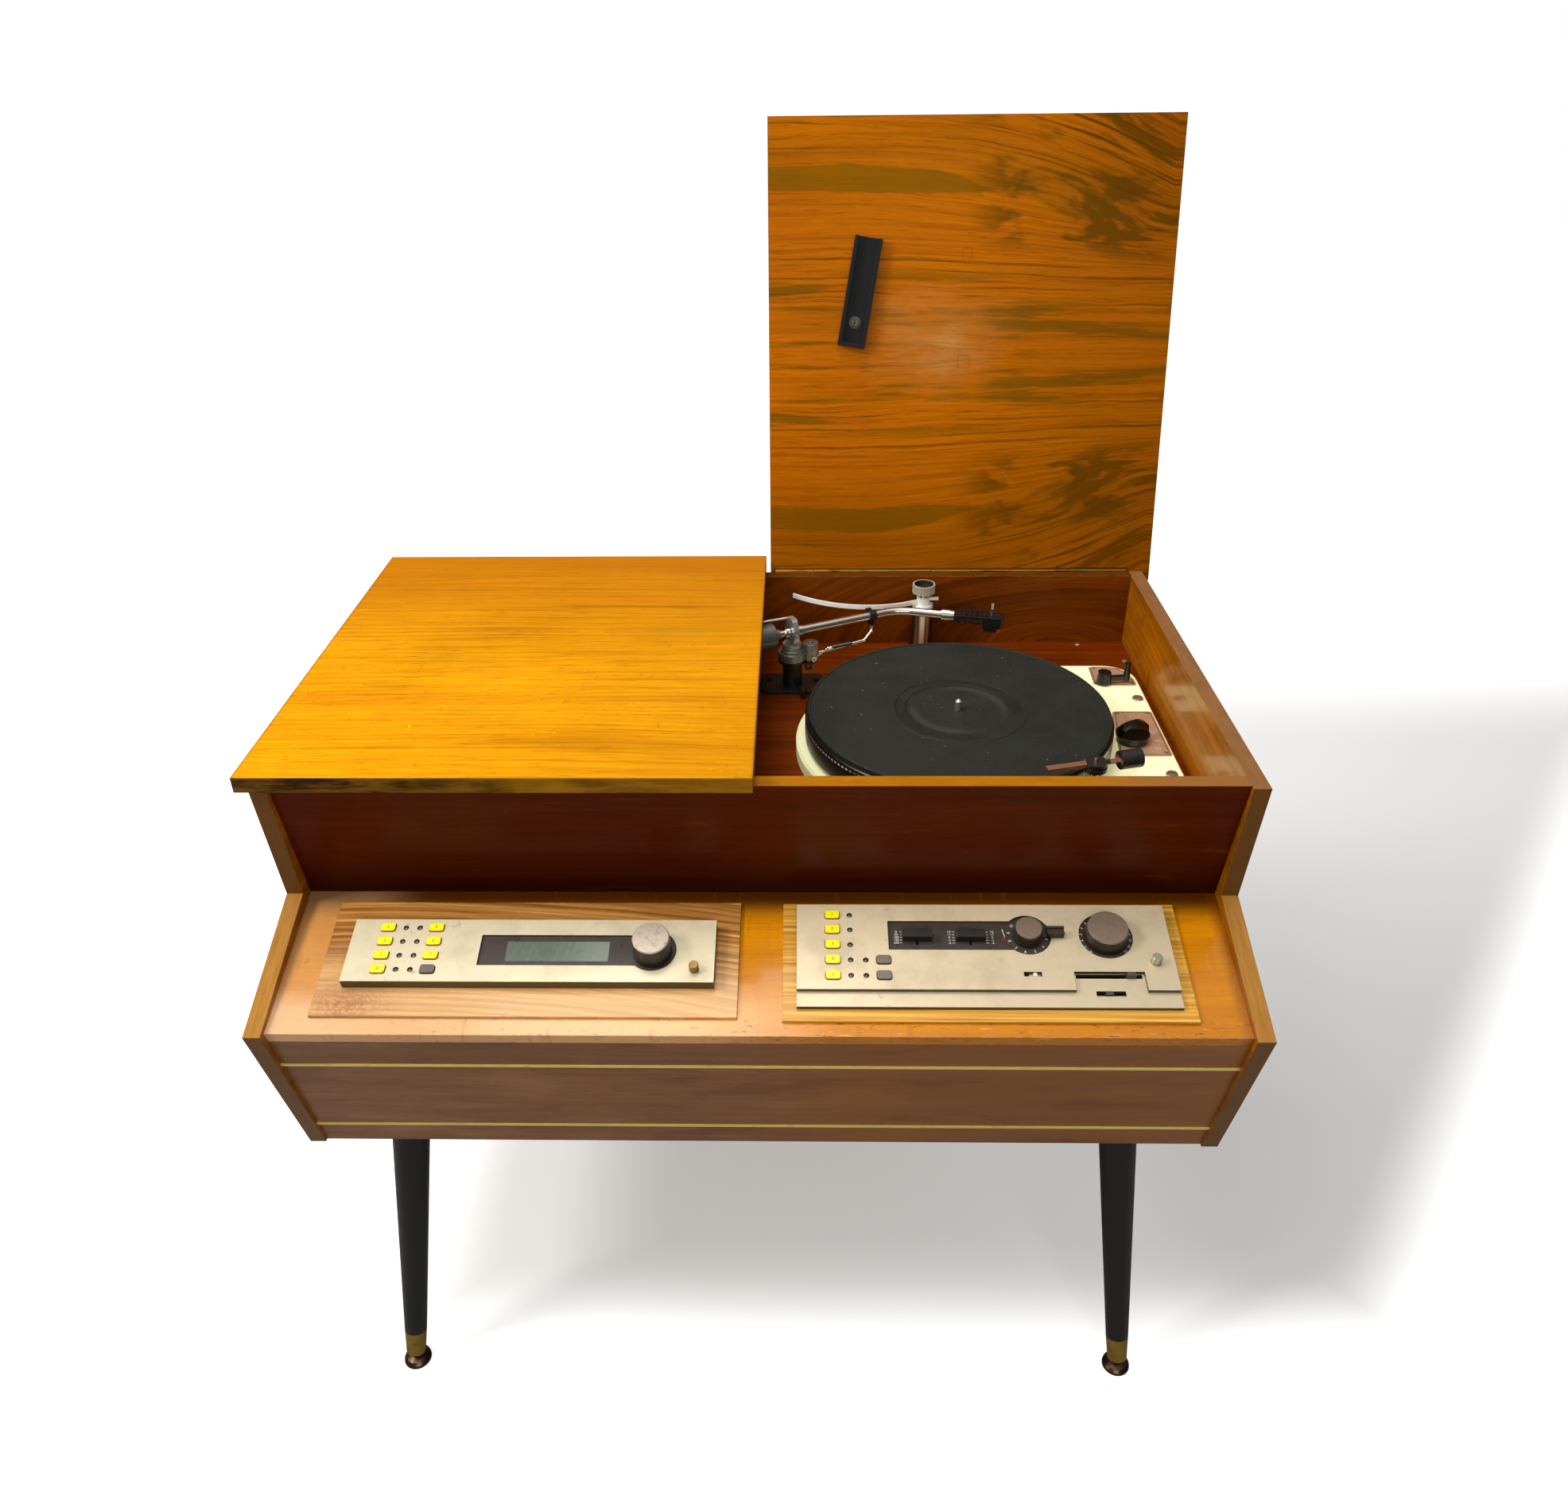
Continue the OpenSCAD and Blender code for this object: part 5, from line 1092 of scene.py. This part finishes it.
# what the camera sees is a soft pool of shade under and to the right of the cabinet
shade = g.mul_add(g.smooth(x, 0.3, 0.8), -0.25, 0.27)
shade = g.mul_add(g.smooth(y, 0.0, 0.85), 0.22, shade)
in_front = g.fall(y, -0.33, -0.2)
to_right = g.smooth(g.mul_add(y, -0.72, x), 0.76, 0.95)
to_left = g.fall(x, -0.43, -0.3)
outside = g.larger(g.larger(in_front, to_right), g.larger(to_left, g.smooth(y, 0.95, 1.5)))
glow = g.mul_add(g.sub(0.77, shade), outside, shade)
g.set(color=g.mix(seen, (0.3, 0.29, 0.28, 1), grey(0.72)), emit=grey(1), emit_strength=g.mul(seen, glow))
floor.data.materials.append(g.material)

world = bpy.data.worlds.new("studio")
scene.world = world
world.use_nodes = True
tree = world.node_tree
tree.nodes.clear()


def sky(strength, stops=None):
    """A background that changes from the horizon up, or plain white."""
    background = new_node(tree, "Background")
    background.inputs[1].default_value = strength
    background.inputs[0].default_value = grey(1)
    if stops:
        coords = new_node(tree, "TexCoord")
        split = new_node(tree, "SeparateXYZ")
        ramp = new_node(tree, "ValToRGB")
        set_stops(ramp, stops)
        tree.links.new(coords.outputs["Generated"], split.inputs[0])
        tree.links.new(split.outputs[2], ramp.inputs[0])
        tree.links.new(ramp.outputs[0], background.inputs[0])
    return background.outputs[0]


def choose(ray, no, yes):
    """The sky called yes for this kind of ray, else the one called no."""
    mix = new_node(tree, "MixShader")
    tree.links.new(path.outputs[ray], mix.inputs[0])
    tree.links.new(no, mix.inputs[1])
    tree.links.new(yes, mix.inputs[2])
    return mix.outputs[0]


path = new_node(tree, "LightPath")
light = sky(0.62, [(0.0, (0.62, 0.6, 0.57, 1)), (0.4, (0.5, 0.49, 0.47, 1)), (1.0, grey(1))])
shine = sky(1.0, [(0.0, (0.05, 0.045, 0.04, 1)), (0.5, grey(0.05)), (0.78, grey(0.3)), (1.0, grey(1))])
world_output = new_node(tree, "OutputWorld")
unseen = choose("Is Glossy Ray", light, shine)
tree.links.new(choose("Is Camera Ray", unseen, sky(1.0)), world_output.inputs[0])


def area(name, location, aim, size, power, color):
    lamp = bpy.data.lights.new(name, "AREA")
    lamp.shape = "RECTANGLE"
    lamp.size, lamp.size_y = size
    lamp.energy = power
    lamp.color = color
    lamp_object = bpy.data.objects.new(name, lamp)
    lamp_object.location = location
    lamp_object.rotation_euler = (Vector(aim) - Vector(location)).to_track_quat("-Z", "Y").to_euler()
    scene.collection.objects.link(lamp_object)


area("key", (-0.5, 0.1, 3.3), (-0.05, 0.0, 0.5), (2.0, 1.0), 38, (1.0, 0.97, 0.92))
area("side", (-2.0, -0.7, 2.3), (0.1, 0.0, 0.5), (0.7, 0.7), 42, (1.0, 0.97, 0.92))
area("fill", (0.3, -2.6, 1.9), (0.1, 0.2, 0.7), (1.6, 0.8), 20, (1.0, 0.96, 0.9))

view = scene.view_settings
view.view_transform = "Standard"
view.look = "None"
view.exposure = 0.0
view.gamma = 1.0
